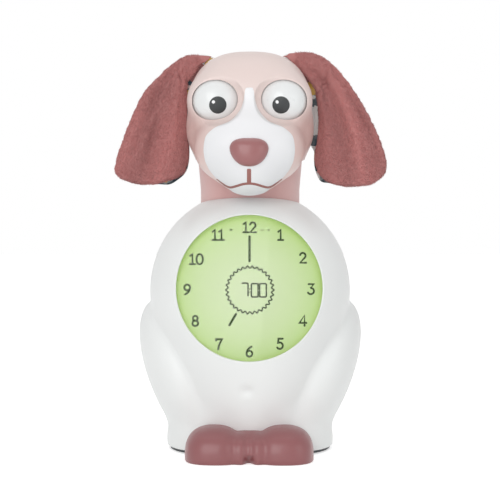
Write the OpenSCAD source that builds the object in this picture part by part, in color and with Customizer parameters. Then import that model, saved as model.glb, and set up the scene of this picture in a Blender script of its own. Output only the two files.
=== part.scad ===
// Children's alarm clock and night light, made as a sitting puppy. The round chest carries a
// lit dial. A small drive lifts the head, and a rack in the neck rolls the eyes open as it rises.
// Millimetres. The puppy faces -Y, +X is its left, and it stands on Z = 0.

/* [Body shell] */
// Radius of the round chest
ball_r = 58; // [56:0.5:60]
// Height of the chest's centre
ball_z = 91.7; // [90:0.1:93.5]
// Wall of the body's two shells
wall = 2.4; // [1.8:0.1:3]
// Radius of the chest's lower end, between the hind legs
toe_r = 20; // [18:0.5:22]
// How far forward the chest's lower end sits
toe_front = 18; // [16:0.5:20]
// Half width of the rump
rump_w = 44; // [42:0.5:46]
// Half depth of the rump
rump_d = 45; // [43:0.5:46]
// Half height of the rump
rump_h = 50; // [47:0.5:52]
// Half width of the haunch's bulge
haunch_w = 22.5; // [21:0.1:24]
// Half depth of the haunch's bulge
haunch_d = 42; // [38:0.5:44]
// Half height of the haunch's bulge
haunch_h = 52.6; // [50:0.1:54]
// Outward lean of the haunch, in degrees
haunch_lean = 24.9; // [23:0.1:27]
// Half width of the base
base_w = 47.1; // [46:0.1:49]
// Depth of the base behind the middle
base_back = 50; // [48:0.5:52]
// Length of the hind foot's bulge, half
foot_d = 26; // [23:0.5:28]

/* [Display] */
// Radius of the round opening of the display
dial_r = 40.6; // [38:0.1:41]
// Upward tilt of the display, in degrees
dial_tilt = 5.5; // [4:0.1:7]
// Depth of the lens behind the rim
dial_recess = 2.5; // [1.5:0.1:3]
// Thickness of the clear lens
lens_t = 1.6; // [1.2:0.1:1.8]
// Thickness of the liquid crystal panel
lcd_t = 2.2; // [1.8:0.1:2.4]
// Thickness of the light guide
guide_t = 2; // [1.5:0.1:2.2]
// Number of lamps on the lamp board
lamp_count = 12; // [6:1:14]

/* [Head] */
// Half width of the skull
skull_w = 35.3; // [34:0.1:36]
// Half depth of the skull
skull_d = 36.5; // [36:0.1:37.5]
// Half height of the skull
skull_h = 34; // [33:0.1:35]
// Wall of the head's shells
head_wall = 2.2; // [1.8:0.1:2.6]
// Half width of the muzzle
muzzle_w = 30.8; // [29.5:0.1:32]
// Radius of the eyeballs
eye_r = 15; // [14.5:0.1:15.2]
// Distance of each eye from the middle
eye_x = 19; // [18.8:0.1:19.6]
// Diameter of the pupils
pupil_dia = 9.7; // [8:0.1:11]
// Length of each ear flap from root to tip
ear_l = 79; // [76:0.5:80]
// Thickness of the plush ears
ear_t = 7; // [5:0.5:8]
// Thickness of the ears' lining
lining_t = 1.5; // [1:0.1:2]

/* [Neck and lift] */
// Outer radius of the neck tube where it enters the body
neck_r = 28.8; // [28:0.1:29]
// Wall of the neck tube
neck_wall = 2; // [1.6:0.1:2.2]
// How far the head sinks when the puppy goes to sleep
lift = 10; // [8:0.5:10]
// Pinion that turns the eyes: tooth module
eye_module = 0.75; // [0.7:0.01:0.8]
// Pinion that turns the eyes: teeth
eye_teeth = 15; // [14:1:16]
// Lift pinion: tooth module
lift_module = 0.8; // [0.75:0.01:0.85]
// Lift pinion: teeth
lift_teeth = 15; // [14:1:15]
// Large gear on the lift shaft: teeth
wheel_teeth = 40; // [38:1:40]
// Motor pinion: teeth
motor_teeth = 12; // [12:1:14]
// Module of the large gear and the motor pinion
train_module = 0.5; // [0.48:0.01:0.5]

/* [Controls] */
// Diameter of the push buttons
button_dia = 8.8; // [7:0.1:10]
// Travel of the push buttons
button_travel = 1; // [0.6:0.1:1.2]
// Sideways distance between the buttons
button_pitch = 15; // [13:0.5:16]
// Travel of the power slider
slider_travel = 4; // [3:0.5:5]

/* [Power and sound] */
// Diameter of an AA cell
cell_dia = 14.3; // [14:0.1:14.5]
// Length of an AA cell without its nipple
cell_l = 49.2; // [48.5:0.1:49.5]
// Radius of the loudspeaker
speaker_r = 18; // [15:0.5:18.5]

/* [Paws] */
// Half width of one front paw
paw_w = 17.8; // [17:0.1:18.5]
// Height of the paws
paw_h = 20.4; // [18:0.1:22]

/* [Fits] */
// Gap around pieces that slide or turn in a shell
gap = 0.3; // [0.2:0.05:0.4]
// Gap around a shaft in its bearing
shaft_gap = 0.05; // [0.03:0.01:0.08]
// Slack between meshing teeth
backlash = 0.12; // [0.1:0.01:0.16]

/* [Hidden] */
$fn = 48;

// Colours
plastic_white = "#f1f2f2";
plastic_pink = "#e6d0cb";
plush_rose = "#a5686a";
paw_rose = "#a36b6a";
board_green = "#2f6b46";
dark_grey = "#3a3b3d";
steel = "#b9bcc0";
abs_grey = "#c9ccce";
acetal = "#e9e2cf";
black_plastic = "#2b2c2e";

// Screws
screw_r = 1.3;
thread_hole_r = screw_r + 0.06;
head_r = 2.5;
head_t = 1.6;

// Body shape
haunch_at = [35.1, 12, 37.6];
rump_back = 60;
rump_at = [0, rump_back - rump_d, 44];
foot_at = [29.5, -2, 6];
foot_w = 17.2;
foot_h = 14.4;
base_front = 38;
base_h = 38;
shell_bottom = 3;
seam_y = 4;
body_cols = 64;
body_low_rows = 18;
body_top_rows = 11;
inner_cols = 36;

// Display stack, measured along its tilted axis from the chest's centre
rim_d = sqrt(pow(ball_r, 2) - pow(dial_r, 2));
lens_front = rim_d - dial_recess;
lens_back = lens_front - lens_t;
gasket_t = 0.6;
lcd_front = lens_back - gasket_t;
guide_front = lcd_front - lcd_t;
tray_front = guide_front - guide_t;
tray_depth = 6.4;
tray_back = tray_front - tray_depth;
tray_wall = 1.2;
lamp_board_t = 1.6;
lamp_board_back = tray_back + tray_wall + 0.1;
lamp_t = 1.4;
seat_lip = 1.6;
lens_r = dial_r + seat_lip;
pocket_r = lens_r + 0.15;
boss_r = pocket_r + 4.4;
boss_back = tray_back + 4;
tab_angles = [50, 125, 235, 310];
tab_r = 2;
tab_at = lens_r + head_r;
board_gap = 5;
board_t = 1.6;
board_front = tray_back - board_gap;
board_w = 50;
board_h = 42;
board_drop = 6;
board_posts = [[-20, -22], [20, -22], [-20, 10], [20, 10]];

// Neck and head
neck_y = 8;
neck_flare_r = neck_r + 1.4;
neck_bore = neck_r - 6.8;
neck_bottom = 130.5;
neck_flare_z = 150;
neck_top = 168.5;
neck_floor = 2.5;
ledge_z = 134;
platform_t = 3;
neck_hole_r = neck_r + 0.9;
head_sink_gap = 0.9;
skull_at = [0, 3, 229.5 - skull_h];
cheek_at = [0, 5, 182.9];
cheek_size = [35.5, 34.4, 26.1];
muzzle_at = [0, -29, 172.5];
muzzle_size = [muzzle_w, 22, 21.9];
jaw_at = [0, -36.1, 161.9];
jaw_size = [15.1, 13.4, 14.9];
brow_r = eye_r + 1.3;
eye_y = -18;
eye_z = 200.3;
eye_gap = 0.4;
head_seam_y = 4;
head_cols = 60;
head_rows = 32;
head_ray = [0, -3, 190];

// Face: half widths and heights of the white mask's outline
mask_edge = [[2.2, 206.2], [3.3, 199.5], [5.2, 194.6], [9.2, 189.3], [15, 186], [21.5, 182.2],
    [24.6, 177.3], [25.3, 171.8], [24, 164.5], [18.7, 156.5], [12.8, 152], [10.2, 149], [10, 140]];
mask_back = -20;
nose_at = [0, -50.4, 173.4];

// Outline of the left ear seen from the front, root at the top
ear_points = [[20.5, 228], [25.5, 230], [33, 230.3], [39.5, 227.3], [48, 220.6], [56.5, 212.3],
    [63.5, 203.3], [69, 193], [73.6, 182.5], [77.2, 173], [79.8, 164.5], [78.8, 158.5], [73, 154.8],
    [64.5, 153], [55.5, 152.6], [46.5, 154.6], [40, 158], [37.4, 164], [37.1, 173], [37.4, 183],
    [37.6, 193], [37.2, 202], [35.3, 209.5], [33.1, 216], [29.7, 221.4], [25, 225]];
ear_middle = [55, 186];
ear_top = max([for (p = ear_points) p[1]]) + 0.7;
ear_span = 79;
ear_y = 3;
ear_tab_at = [29.7, head_seam_y, 216.9];
ear_tab_tilt = -37;

// Eye opening in the face: half sizes of its rounded outline
eye_open_w = 12.7;
eye_open_h = 11.5;

// Lift drive
eye_pitch_r = eye_module * eye_teeth / 2;
eye_rack_y = eye_y + eye_pitch_r;
lift_pitch_r = lift_module * lift_teeth / 2;
lift_rack_y = 18;
lift_axis = [lift_rack_y + lift_pitch_r, 104];
wheel_r = train_module * wheel_teeth / 2;
motor_pinion_r = train_module * motor_teeth / 2;
motor_angle = -60;
motor_reach = wheel_r + motor_pinion_r + 0.05;
motor_axis = lift_axis + motor_reach * [cos(motor_angle), sin(motor_angle)];
rack_w = 6;
rack_back = 4.5;
eye_rack_w = 4.4;
gear_x = 4.2;
gear_w = 3;
plate_t = 1.5;
plate_left = -5.2;
plate_right = 8;
plate_top = 116;
shaft_r = 1;
axle_r = 1.5;
rod_r = 1.5;
rod_x = neck_r - 8.8;
rod_top = 139;
rod_boss_r = 3.4;
motor_r = 7.5;
motor_l = 25;
post_x = 2.8;
post_t = 1.3;

// Chassis, cells and base
base_bottom = 0.8;
base_t = 2.7;
base_top = base_bottom + base_t;
box_wall = 1.5;
cell_pitch = cell_dia + 0.7;
cell_z = base_top + 0.4 + cell_dia / 2;
cell_room = cell_l + 6;
box_in_x = cell_room / 2;
box_in_y = cell_pitch * 1.5 + 0.2;
box_top = cell_z + cell_dia / 2 + 0.6 + 2;
deck_z = 70;
deck_t = 3;
deck_top = deck_z + deck_t;
deck_x = 28;
deck_front = -16;
deck_back = 40;
leg_r = 3.5;
legs = [[-24, -12], [24, -12], [-24, 18], [24, 18]];
door_x = box_in_x - 1;
door_y = box_in_y - 1;
door_t = 2.2;
foot_pads = [[-38, -0.5], [38, -0.5], [-27, 33], [27, 33]];
pad_r = 4.5;
pad_t = 2;
shell_posts = [[-37, -10], [37, -10], [-33, 24.5], [33, 24.5]];
post_r = 3.2;
chassis_tabs = [[-34.6, 8], [34.6, 8], [-14, 30], [14, 30]];

// Screws through the seam of the body
body_screw_x = ball_r - 10.5;
low_screw_x = base_w - 9.4;
body_screw_at = [[-body_screw_x, 95], [body_screw_x, 95], [-low_screw_x, 28], [low_screw_x, 28]];
body_post_r = 3.8;
body_screw_y = 12;

// Control panel in the back
panel_w = 48;
panel_h = 30;
panel_round = 8;
panel_y = 50.5;
panel_t = 2.5;
panel_rim = 2.2;
panel_z = ball_z;
button_rows = [8.2, -4];
board_screw = [21.5, -9.5];
button_out = 1.5;
slider_z = -12;
slider_w = 5;
slider_flange_w = 8.4;
flange_t = 1.2;
panel_back = panel_y - panel_t;
panel_flange_t = 1.6;
panel_seat = panel_back - panel_flange_t;
panel_boss_r = 3;
cap_r = button_dia / 2;
cap_flange_r = cap_r + 1.5;
switch_y = 41.8;
switch_h = 3.6;
board_y = switch_y - board_t;
spacer_r = 2.3;

// Loudspeaker and power socket
speaker_z = 45;
speaker_y = rump_back - 7.5;
hole_pitch = speaker_r * 0.28;
socket_z = 15;
socket_r = 4.5;

// ---------- distance functions of the soft forms ----------
function ellipsoid_d(p, c, r) =
    let (q = [for (i = [0:2]) (p[i] - c[i]) / r[i]])
    let (k = norm(q))
    k * (k - 1) / max(norm([for (i = [0:2]) q[i] / r[i]]), 0.0001);

function blend(a, b, k) =
    let (h = max(k - abs(a - b), 0) / k)
    min(a, b) - h * h * k / 4;

function lean(p, c, a) =
    let (x = p[0] - c[0], z = p[2] - c[2])
    [c[0] + x * cos(a) - z * sin(a), p[1], c[2] + z * cos(a) + x * sin(a)];

// Cone with round ends: the ball r1 at a, the ball r2 at b and the skin stretched over both
function round_cone_d(p, a, b, r1, r2) =
    let (ba = b - a, l2 = ba * ba, dr = r1 - r2, a2 = l2 - dr * dr)
    let (pa = p - a, y = pa * ba, z = y - l2, w = pa * l2 - ba * y, x2 = w * w)
    let (k = sign(dr) * dr * dr * x2)
    sign(z) * a2 * z * z * l2 > k ? sqrt(x2 + z * z * l2) / l2 - r2 :
    sign(y) * a2 * y * y * l2 < k ? sqrt(x2 + y * y * l2) / l2 - r1 :
    (sqrt(x2 * a2 / l2) + y * dr) / l2 - r1;

function base_d(p) =
    let (plan = pow(p[0] / base_w, 2) + pow(p[1] / (p[1] < 0 ? base_front : base_back), 2))
    (pow(plan * plan + pow(p[2] / base_h, 4), 0.25) - 1) * base_front;

function body_d(p) =
    let (m = [abs(p[0]), p[1], p[2]])
    let (chest = round_cone_d(p, [0, 0, ball_z], [0, -toe_front, 8], ball_r, toe_r))
    let (back = blend(chest, ellipsoid_d(p, rump_at, [rump_w, rump_d, rump_h]), 10))
    let (based = blend(back, base_d(p), 6))
    let (hip = ellipsoid_d(lean(m, haunch_at, haunch_lean), haunch_at, [haunch_w, haunch_d, haunch_h]))
    blend(blend(based, hip, 4.5), ellipsoid_d(m, foot_at, [foot_w, foot_d, foot_h]), 5);

// The skull is squarer than an ellipsoid, so that the eyes sit at its front corners
function skull_d_at(p) =
    let (q = [for (i = [0:2]) abs(p[i] - skull_at[i])])
    let (plan = pow(pow(q[0] / skull_w, 2.6) + pow(q[1] / skull_d, 2.6), 2.5 / 2.6))
    (pow(plan + pow(q[2] / skull_h, 2.5), 1 / 2.5) - 1) * skull_h;

function collar_d(p) = max(norm([p[0], p[1] - neck_y]) - neck_flare_r - 0.4, neck_top - p[2]);

function head_d(p) =
    let (m = [abs(p[0]), p[1], p[2]])
    let (skull = blend(skull_d_at(p), ellipsoid_d(p, cheek_at, cheek_size), 8))
    let (nape = blend(skull, max(collar_d(p), p[2] - cheek_at[2]), 5))
    let (snout = blend(nape, ellipsoid_d(p, muzzle_at, muzzle_size), 9))
    let (chin = blend(snout, ellipsoid_d(p, jaw_at, jaw_size), 8))
    blend(chin, norm(m - [eye_x, eye_y, eye_z]) - brow_r, 5);

// A squarish lobe: its power is 2 for an ellipsoid and more for squarer ones
function lobe_d(p, r, power) =
    (pow(pow(abs(p[0]) / r[0], power) + pow(abs(p[1]) / r[1], power)
        + pow(abs(p[2]) / r[2], power), 1 / power) - 1) * r[2];

// Two paws, and the lower bridge that joins them
function paws_d(p) =
    let (x = abs(p[0]) - 18, w = x > 0 ? paw_w : paw_w - 3.3)
    blend(lobe_d([x, p[1] + 40.5, p[2] - 3], [w, 19.5, paw_h - 3], 2.6),
        lobe_d([p[0], p[1] + 40.5, p[2] - 3], [14, 18.6, paw_h - 5.8], 3), 1.5);

function form_d(form, p) =
    form == "body" ? body_d(p) : form == "head" ? head_d(p) : paws_d(p);

// Distance along the ray from o towards u at which the form, shrunk by inset, ends
function ray_length(form, o, u, inset, low = 0, high = 96, steps = 14) =
    let (mid = (low + high) / 2)
    steps == 0 ? mid :
    form_d(form, o + u * mid) < -inset ? ray_length(form, o, u, inset, mid, high, steps - 1) :
    ray_length(form, o, u, inset, low, mid, steps - 1);

function heading(a, e) = [sin(a) * cos(e), -cos(a) * cos(e), sin(e)];

// One ring of points round Z. Its two halves mirror each other, so only one is worked out.
function ring_points(form, o, e, cols, inset, drop) =
    let (half = [for (j = [0:cols / 2]) ray_length(form, o, heading(360 * j / cols, e), inset)])
    [for (j = [0:cols - 1])
        o + heading(360 * j / cols, e) * half[j <= cols / 2 ? j : cols - j] - [0, 0, drop]];

// Closed skin over rings of points, with a flat end or a single point at each end
module skin(rings, low_pole = [], high_pole = []) {
    n = len(rings[0]);
    m = len(rings);
    poles = concat(low_pole, high_pole);
    points = concat([for (r = rings) each r], poles);
    sides = [for (i = [0:m - 2], j = [0:n - 1])
        let (a = i * n + j, b = i * n + (j + 1) % n)
        each [[a, b + n, b], [a, a + n, b + n]]];
    low = len(low_pole) == 0 ? [[for (j = [0:n - 1]) j]] :
        [for (j = [0:n - 1]) [m * n, j, (j + 1) % n]];
    last = (m - 1) * n;
    high = len(high_pole) == 0 ? [[for (j = [n - 1:-1:0]) last + j]] :
        [for (j = [0:n - 1]) [last + j, m * n + len(low_pole), last + (j + 1) % n]];
    polyhedron(points, concat(sides, low, high), convexity = 6);
}

// Everything inside is one moulding with freeform faces
module moulded() {
    resize([0, 0, 0]) children();
}

module body_form(inset = 0, drop = 0, cols = body_cols) {
    low_rows = round(body_low_rows * cols / body_cols);
    top_rows = round(body_top_rows * cols / body_cols);
    low = [for (i = [0:low_rows - 1])
        ring_points("body", [0, 0, shell_bottom + (ball_z - shell_bottom) * i / low_rows], 0,
            cols, inset, i == 0 ? drop : 0)];
    top = [for (i = [0:top_rows - 1])
        ring_points("body", [0, 0, ball_z], 88 * i / (top_rows - 1), cols, inset, 0)];
    skin(concat(low, top), [], [[0, 0, ball_z + ball_r - inset]]);
}

module head_form(inset = 0, cols = head_cols) {
    rows = round(head_rows * cols / head_cols);
    low = ray_length("head", head_ray, [0, 0, -1], inset);
    high = ray_length("head", head_ray, [0, 0, 1], inset);
    rings = [for (i = [1:rows - 1])
        ring_points("head", head_ray, -90 + 180 * i / rows, cols, inset, 0)];
    skin(rings, [head_ray - [0, 0, low]], [head_ray + [0, 0, high]]);
}

// ---------- helpers ----------
module at_dial(d) {
    translate([0, 0, ball_z]) rotate([90 - dial_tilt, 0, 0]) translate([0, 0, d]) children();
}

module both_sides() {
    children();
    mirror([1, 0, 0]) children();
}

module tube(r_out, r_in, h) {
    difference() {
        cylinder(r = r_out, h = h);
        translate([0, 0, -1]) cylinder(r = r_in, h = h + 2);
    }
}

module along_x(x, y, z) {
    translate([x, y, z]) rotate([90, 0, 90]) children();
}

module along_y(x, y, z) {
    translate([x, y, z]) rotate([-90, 0, 0]) children();
}

module rounded_box(w, h, r) {
    hull() for (x = [-1, 1], y = [-1, 1])
        translate([x * (w / 2 - r), y * (h / 2 - r)]) circle(r = r, $fn = 32);
}

// Screw with its head at the origin and its shank along +Z
module screw(l, r = screw_r, hr = head_r) {
    difference() {
        cylinder(r = hr, h = head_t);
        translate([0, 0, -0.1]) cylinder(r = hr * 0.5, h = 0.9, $fn = 6);
    }
    cylinder(r = r, h = l);
}

// ---------- toothed parts ----------
pressure = 25;

function roll(r, base) = sqrt(max(pow(r / base, 2) - 1, 0)) * 180 / PI;
function involute_turn(r, base) = roll(r, base) - atan(sqrt(max(pow(r / base, 2) - 1, 0)));

function tooth_half(r, pitch_r, teeth) =
    let (base = pitch_r * cos(pressure))
    90 / teeth + involute_turn(pitch_r, base) - involute_turn(max(r, base), base)
        - backlash / 4 / pitch_r * 180 / PI;

module gear_plan(m, teeth) {
    pitch_r = m * teeth / 2;
    root = pitch_r - 1.25 * m;
    tip = pitch_r + 0.95 * m;
    radii = [for (i = [0:4]) root + (tip - root) * i / 4];
    polygon([for (t = [0:teeth - 1]) each concat(
        [for (r = radii)
            let (a = 360 * t / teeth - tooth_half(r, pitch_r, teeth)) r * [cos(a), sin(a)]],
        [for (i = [4:-1:0])
            let (r = radii[i], a = 360 * t / teeth + tooth_half(r, pitch_r, teeth))
            r * [cos(a), sin(a)]])]);
}

// Rack outline: pitch line on Y = 0, teeth towards +Y, a gap centred at X = 0
module rack_plan(m, low, high, depth) {
    pitch = PI * m;
    tip = 0.95 * m;
    root = 1.25 * m;
    half = pitch / 4 - backlash / 4;
    first = ceil((low + pitch) / pitch);
    last = floor((high - pitch) / pitch);
    polygon(concat([[low, -depth], [low, -root]],
        [for (t = [first:last]) let (c = (t - 0.5) * pitch) each [
            [c - half - root * tan(pressure), -root], [c - half + tip * tan(pressure), tip],
            [c + half - tip * tan(pressure), tip], [c + half + root * tan(pressure), -root]]],
        [[high, -root], [high, -depth]]));
}

// ---------- body ----------
module display_boss() {
    difference() {
        intersection() {
            at_dial(boss_back) cylinder(r = boss_r, h = ball_r - boss_back, $fn = 72);
            body_form(0.5, 0, inner_cols);
        }
        at_dial(boss_back - 1) cylinder(r = pocket_r, h = lens_front - boss_back + 1, $fn = 96);
    }
}

module body_posts(y_from, y_to) {
    for (p = body_screw_at)
        along_y(p[0], y_from, p[1]) cylinder(r = body_post_r, h = y_to - y_from, $fn = 24);
}

module shell_foot_posts() {
    for (p = shell_posts) translate([p[0], p[1], base_top]) hull() {
        cylinder(r = post_r, h = 11, $fn = 20);
        translate([sign(p[0]) * 8, 0, 0]) cylinder(r = post_r, h = 11, $fn = 20);
    }
}

module shell_blank() {
    difference() {
        union() {
            difference() {
                body_form();
                body_form(wall, 3, inner_cols);
            }
            display_boss();
            intersection() {
                union() {
                    body_posts(-ball_r / 2 - 1, ball_r + 2);
                    shell_foot_posts();
                    panel_frame();
                    speaker_ring();
                }
                body_form(0.5, 0, inner_cols);
            }
        }
        at_dial(lens_front - 1) cylinder(r = dial_r, h = 40, $fn = 96);
        at_dial(boss_back - 20) cylinder(r = pocket_r, h = lens_front - boss_back + 20, $fn = 96);
        translate([0, neck_y, ball_z]) cylinder(r = neck_hole_r, h = ball_r + 10, $fn = 72);
        for (p = tab_screws())
            at_dial(boss_back - 1) translate(p) cylinder(r = thread_hole_r, h = 6, $fn = 16);
        for (p = body_screw_at) {
            along_y(p[0], body_screw_y - 24, p[1]) cylinder(r = thread_hole_r, h = 24, $fn = 16);
            along_y(p[0], body_screw_y, p[1]) cylinder(r = head_r + gap, h = 60, $fn = 20);
        }
        for (p = shell_posts)
            translate([p[0], p[1], base_top - 1]) cylinder(r = thread_hole_r, h = 9, $fn = 16);
        panel_window();
        speaker_holes();
        along_y(0, socket_face_y() - 12, socket_z) cylinder(r = socket_r + gap, h = 30, $fn = 32);
    }
}

function tab_screws() = [for (a = tab_angles) tab_at * [sin(a), cos(a), 0]];

module front_shell() {
    color(plastic_white) moulded() intersection() {
        shell_blank();
        translate([-100, -100, 0]) cube([200, 100 + seam_y, 200]);
    }
}

module rear_shell() {
    color(plastic_white) moulded() intersection() {
        shell_blank();
        translate([-100, seam_y, 0]) cube([200, 100, 200]);
    }
}

module panel_outline(extra) {
    rounded_box(panel_w + 2 * panel_rim + extra, panel_h + 2 * panel_rim + extra,
        panel_round + panel_rim);
    for (p = panel_screw_at())
        translate([p[0], panel_z - p[1]]) circle(r = panel_boss_r + extra / 2, $fn = 20);
}

module panel_frame() {
    along_y(0, panel_back, panel_z) linear_extrude(20) panel_outline(0);
}

function panel_screw_at() = [for (x = [-14, 14], s = [-1, 1]) [x, panel_z + s * (panel_h / 2 + 4)]];

module panel_window() {
    along_y(0, panel_back - 20, panel_z) linear_extrude(50)
        rounded_box(panel_w, panel_h, panel_round);
    along_y(0, panel_back - 20, panel_z) linear_extrude(20) panel_outline(0.2);
    for (p = panel_screw_at())
        along_y(p[0], panel_back - 1, p[1]) cylinder(r = thread_hole_r, h = 4, $fn = 16);
}

module speaker_ring() {
    along_y(0, speaker_y - 3.5, speaker_z) tube(speaker_r + 2.2, speaker_r + 0.3, 20, $fn = 40);
    along_y(0, speaker_y, speaker_z) tube(speaker_r + 2.2, speaker_r - 1.5, 20, $fn = 40);
}

module speaker_holes() {
    for (ring = [0:2], i = [0:max(ring * 6, 1) - 1])
        let (a = 60 * i / max(ring, 1), r = hole_pitch * ring)
        along_y(r * cos(a), speaker_y, speaker_z + r * sin(a)) cylinder(r = 1.2, h = 20, $fn = 14);
}

// The base plate closes the bottom a little inside the shells' edge
function base_outline(inset) =
    [for (p = ring_points("body", [0, 0, shell_bottom + 0.5], 0, body_cols, inset, 0)) [p[0], p[1]]];

module base_plate() {
    color(dark_grey) difference() {
        union() {
            translate([0, 0, base_bottom]) linear_extrude(shell_bottom - base_bottom)
                polygon(base_outline(1.5));
            translate([0, 0, base_bottom]) linear_extrude(base_t)
                polygon(base_outline(wall + 2 * gap));
        }
        translate([-door_x - gap, -door_y - gap, 0])
            cube([2 * (door_x + gap), 2 * (door_y + gap), 10]);
        for (p = foot_pads) translate([p[0], p[1], 0]) cylinder(r = pad_r + 0.05, h = pad_t);
        for (p = concat(shell_posts, chassis_tabs)) translate([p[0], p[1], 0]) {
            cylinder(r = screw_r + 0.1, h = 10);
            cylinder(r = head_r + 0.1, h = base_bottom + head_t + 0.1);
        }
    }
}

module rubber_feet() {
    color("#26272a") for (p = foot_pads)
        translate([p[0], p[1], 0]) cylinder(r = pad_r, h = pad_t);
}

module base_screws() {
    color(steel) {
        for (p = shell_posts) translate([p[0], p[1], base_bottom + 0.1]) screw(8);
        for (p = chassis_tabs) translate([p[0], p[1], base_bottom + 0.1]) screw(6);
    }
}

module front_paws() {
    cols = 48;
    rows = 12;
    o = [0, -40.5, 3];
    color(paw_rose) moulded() difference() {
        skin(concat(
            [ring_points("paws", [0, -40.5, 1.6], 0, cols, 1.2, 1.6)],
            [ring_points("paws", [0, -40.5, 1.6], 0, cols, 0, 0)],
            [for (i = [0:rows - 1]) ring_points("paws", o, 86 * i / (rows - 1), cols, 0, 0)]),
            [], [[0, -40.5, 3 + ray_length("paws", o, [0, 0, 1], 0)]]);
        body_plug();
    }
}

// The lower part of the body as a plug, carried down past its bottom edge
module body_plug() {
    rings = [for (i = [0:7]) ring_points("body",
        [0, 0, shell_bottom + (ball_z - shell_bottom) * i / body_low_rows], 0, body_cols, 0, 0)];
    skin(concat([[for (p = rings[0]) [p[0], p[1], -2]]], rings));
}

// ---------- display ----------
module display_lens() {
    color("#dfeee8", 0.35) at_dial(lens_back) cylinder(r = lens_r, h = lens_t, $fn = 96);
}

module lens_gasket() {
    color(black_plastic) at_dial(lcd_front) tube(lens_r, dial_r + 0.3, gasket_t, $fn = 96);
}

module lcd_panel() {
    color("#c9e39c") at_dial(guide_front) cylinder(r = lens_r - 0.2, h = lcd_t, $fn = 96);
}

module light_guide() {
    color("#eef6dd", 0.6) at_dial(tray_front) cylinder(r = lens_r - 0.2, h = guide_t, $fn = 96);
}

module reflector_tray() {
    color("#f7f7f5") difference() {
        union() {
            at_dial(tray_back) cylinder(r = lens_r - 0.1, h = tray_depth, $fn = 96);
            for (p = tab_screws()) at_dial(boss_back - 1.8) translate(p) hull() {
                cylinder(r = tab_r, h = 1.7, $fn = 24);
                translate(-0.1 * p) cylinder(r = tab_r, h = 1.7, $fn = 24);
            }
        }
        at_dial(tray_back + tray_wall) cylinder(r = lens_r - 0.1 - tray_wall, h = tray_depth, $fn = 96);
        for (p = tab_screws()) at_dial(boss_back - 3) translate(p) cylinder(r = screw_r + 0.1, h = 5);
        for (p = board_posts)
            at_dial(tray_back - 1) translate([p[0], p[1], 0]) cylinder(r = screw_r, h = 3);
        at_dial(tray_back - 1) translate([-8, -34, 0]) cube([16, 4, 4]);
    }
}

module lamp_board() {
    color("#eceff0") at_dial(lamp_board_back) difference() {
        cylinder(r = lens_r - 0.4 - tray_wall, h = lamp_board_t, $fn = 96);
        translate([0, 0, -1]) cylinder(r = 9, h = 5);
        for (p = board_posts) translate([p[0], p[1], -1]) cylinder(r = head_r, h = 5);
    }
}

module backlight_lamps() {
    color("#fff6c8") for (i = [0:lamp_count - 1])
        at_dial(lamp_board_back + lamp_board_t) rotate([0, 0, 360 * (i + 0.5) / lamp_count])
            translate([30, 0, lamp_t / 2]) cube([2.8, 3.5, lamp_t], center = true);
}

module main_board() {
    color(board_green) difference() {
        at_dial(board_front - board_t) translate([-board_w / 2, -board_h / 2 - board_drop, 0])
            cube([board_w, board_h, board_t]);
        for (p = board_posts) at_dial(board_front - board_t - 1) translate([p[0], p[1], 0])
            cylinder(r = screw_r + 0.1, h = 4);
    }
}

module board_chips() {
    spots = [[0, -16, 9, 9, 1.4], [-15, -6, 6, 4, 1.6], [13, -14, 5, 8, 1.5], [15, 2, 4, 4, 2.2],
        [-14, -17, 8, 3, 2.5]];
    color("#303234") for (s = spots)
        at_dial(board_front + s[4] / 2) translate([s[0], s[1], 0])
            cube([s[2], s[3], s[4]], center = true);
}

module display_screws() {
    color(steel) {
        for (p = tab_screws()) at_dial(boss_back - 1.8 - head_t) translate(p) screw(7.8);
        for (p = board_posts) at_dial(board_front - board_t - head_t) translate([p[0], p[1], 0])
            screw(head_t + board_t + board_gap + tray_wall - 0.1);
        for (p = board_posts) at_dial(board_front) translate([p[0], p[1], 0])
            tube(spacer_r, screw_r, board_gap);
    }
}

// ---------- chassis, power and sound ----------
module chassis() {
    color(abs_grey) difference() {
        union() {
            translate([-box_in_x - box_wall, -box_in_y - box_wall, base_top])
                cube([2 * (box_in_x + box_wall), 2 * (box_in_y + box_wall), box_top - base_top]);
            for (p = legs) translate([p[0], p[1], box_top - 1])
                cylinder(r = leg_r, h = deck_z - box_top + 1.5);
            translate([-deck_x, deck_front, deck_z])
                cube([2 * deck_x, deck_back - deck_front, deck_t]);
            for (p = chassis_tabs) let (at_side = abs(p[0]) > 20) hull() {
                translate([p[0], p[1], base_top]) cylinder(r = 4, h = 6, $fn = 32);
                translate([p[0] * (at_side ? 0.8 : 1), p[1] * (at_side ? 1 : 0.75), base_top])
                    cylinder(r = 4, h = 6, $fn = 32);
            }
            drive_plate(plate_left);
            drive_plate(plate_right);
        }
        translate([-box_in_x, -box_in_y, base_top - 1])
            cube([2 * box_in_x, 2 * box_in_y, box_top - 2 - base_top + 1]);
        for (p = chassis_tabs) translate([p[0], p[1], base_top - 1]) cylinder(r = screw_r, h = 5);
        for (x = [-rod_x, rod_x]) translate([x, neck_y, deck_z - 1]) cylinder(r = rod_r, h = 10);
        translate([-eye_rack_w / 2, eye_rack_y + 0.6 * eye_module, deck_z - 1])
            cube([eye_rack_w, 5, 10]);
        for (x = [plate_left, plate_right]) along_x(x - 1, lift_axis[0], lift_axis[1])
            cylinder(r = shaft_r + shaft_gap, h = plate_t + 2);
        along_x(plate_right - 1, motor_axis[0], motor_axis[1]) cylinder(r = 3, h = plate_t + 2);
    }
}

module drive_plate(x) {
    translate([x, 14, deck_top - 0.5]) cube([plate_t, deck_back - 14, plate_top - deck_top + 0.5]);
    translate([x - 1.5, 15, deck_top - 0.5]) cube([plate_t + 3, 4, 6]);
}

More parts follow.
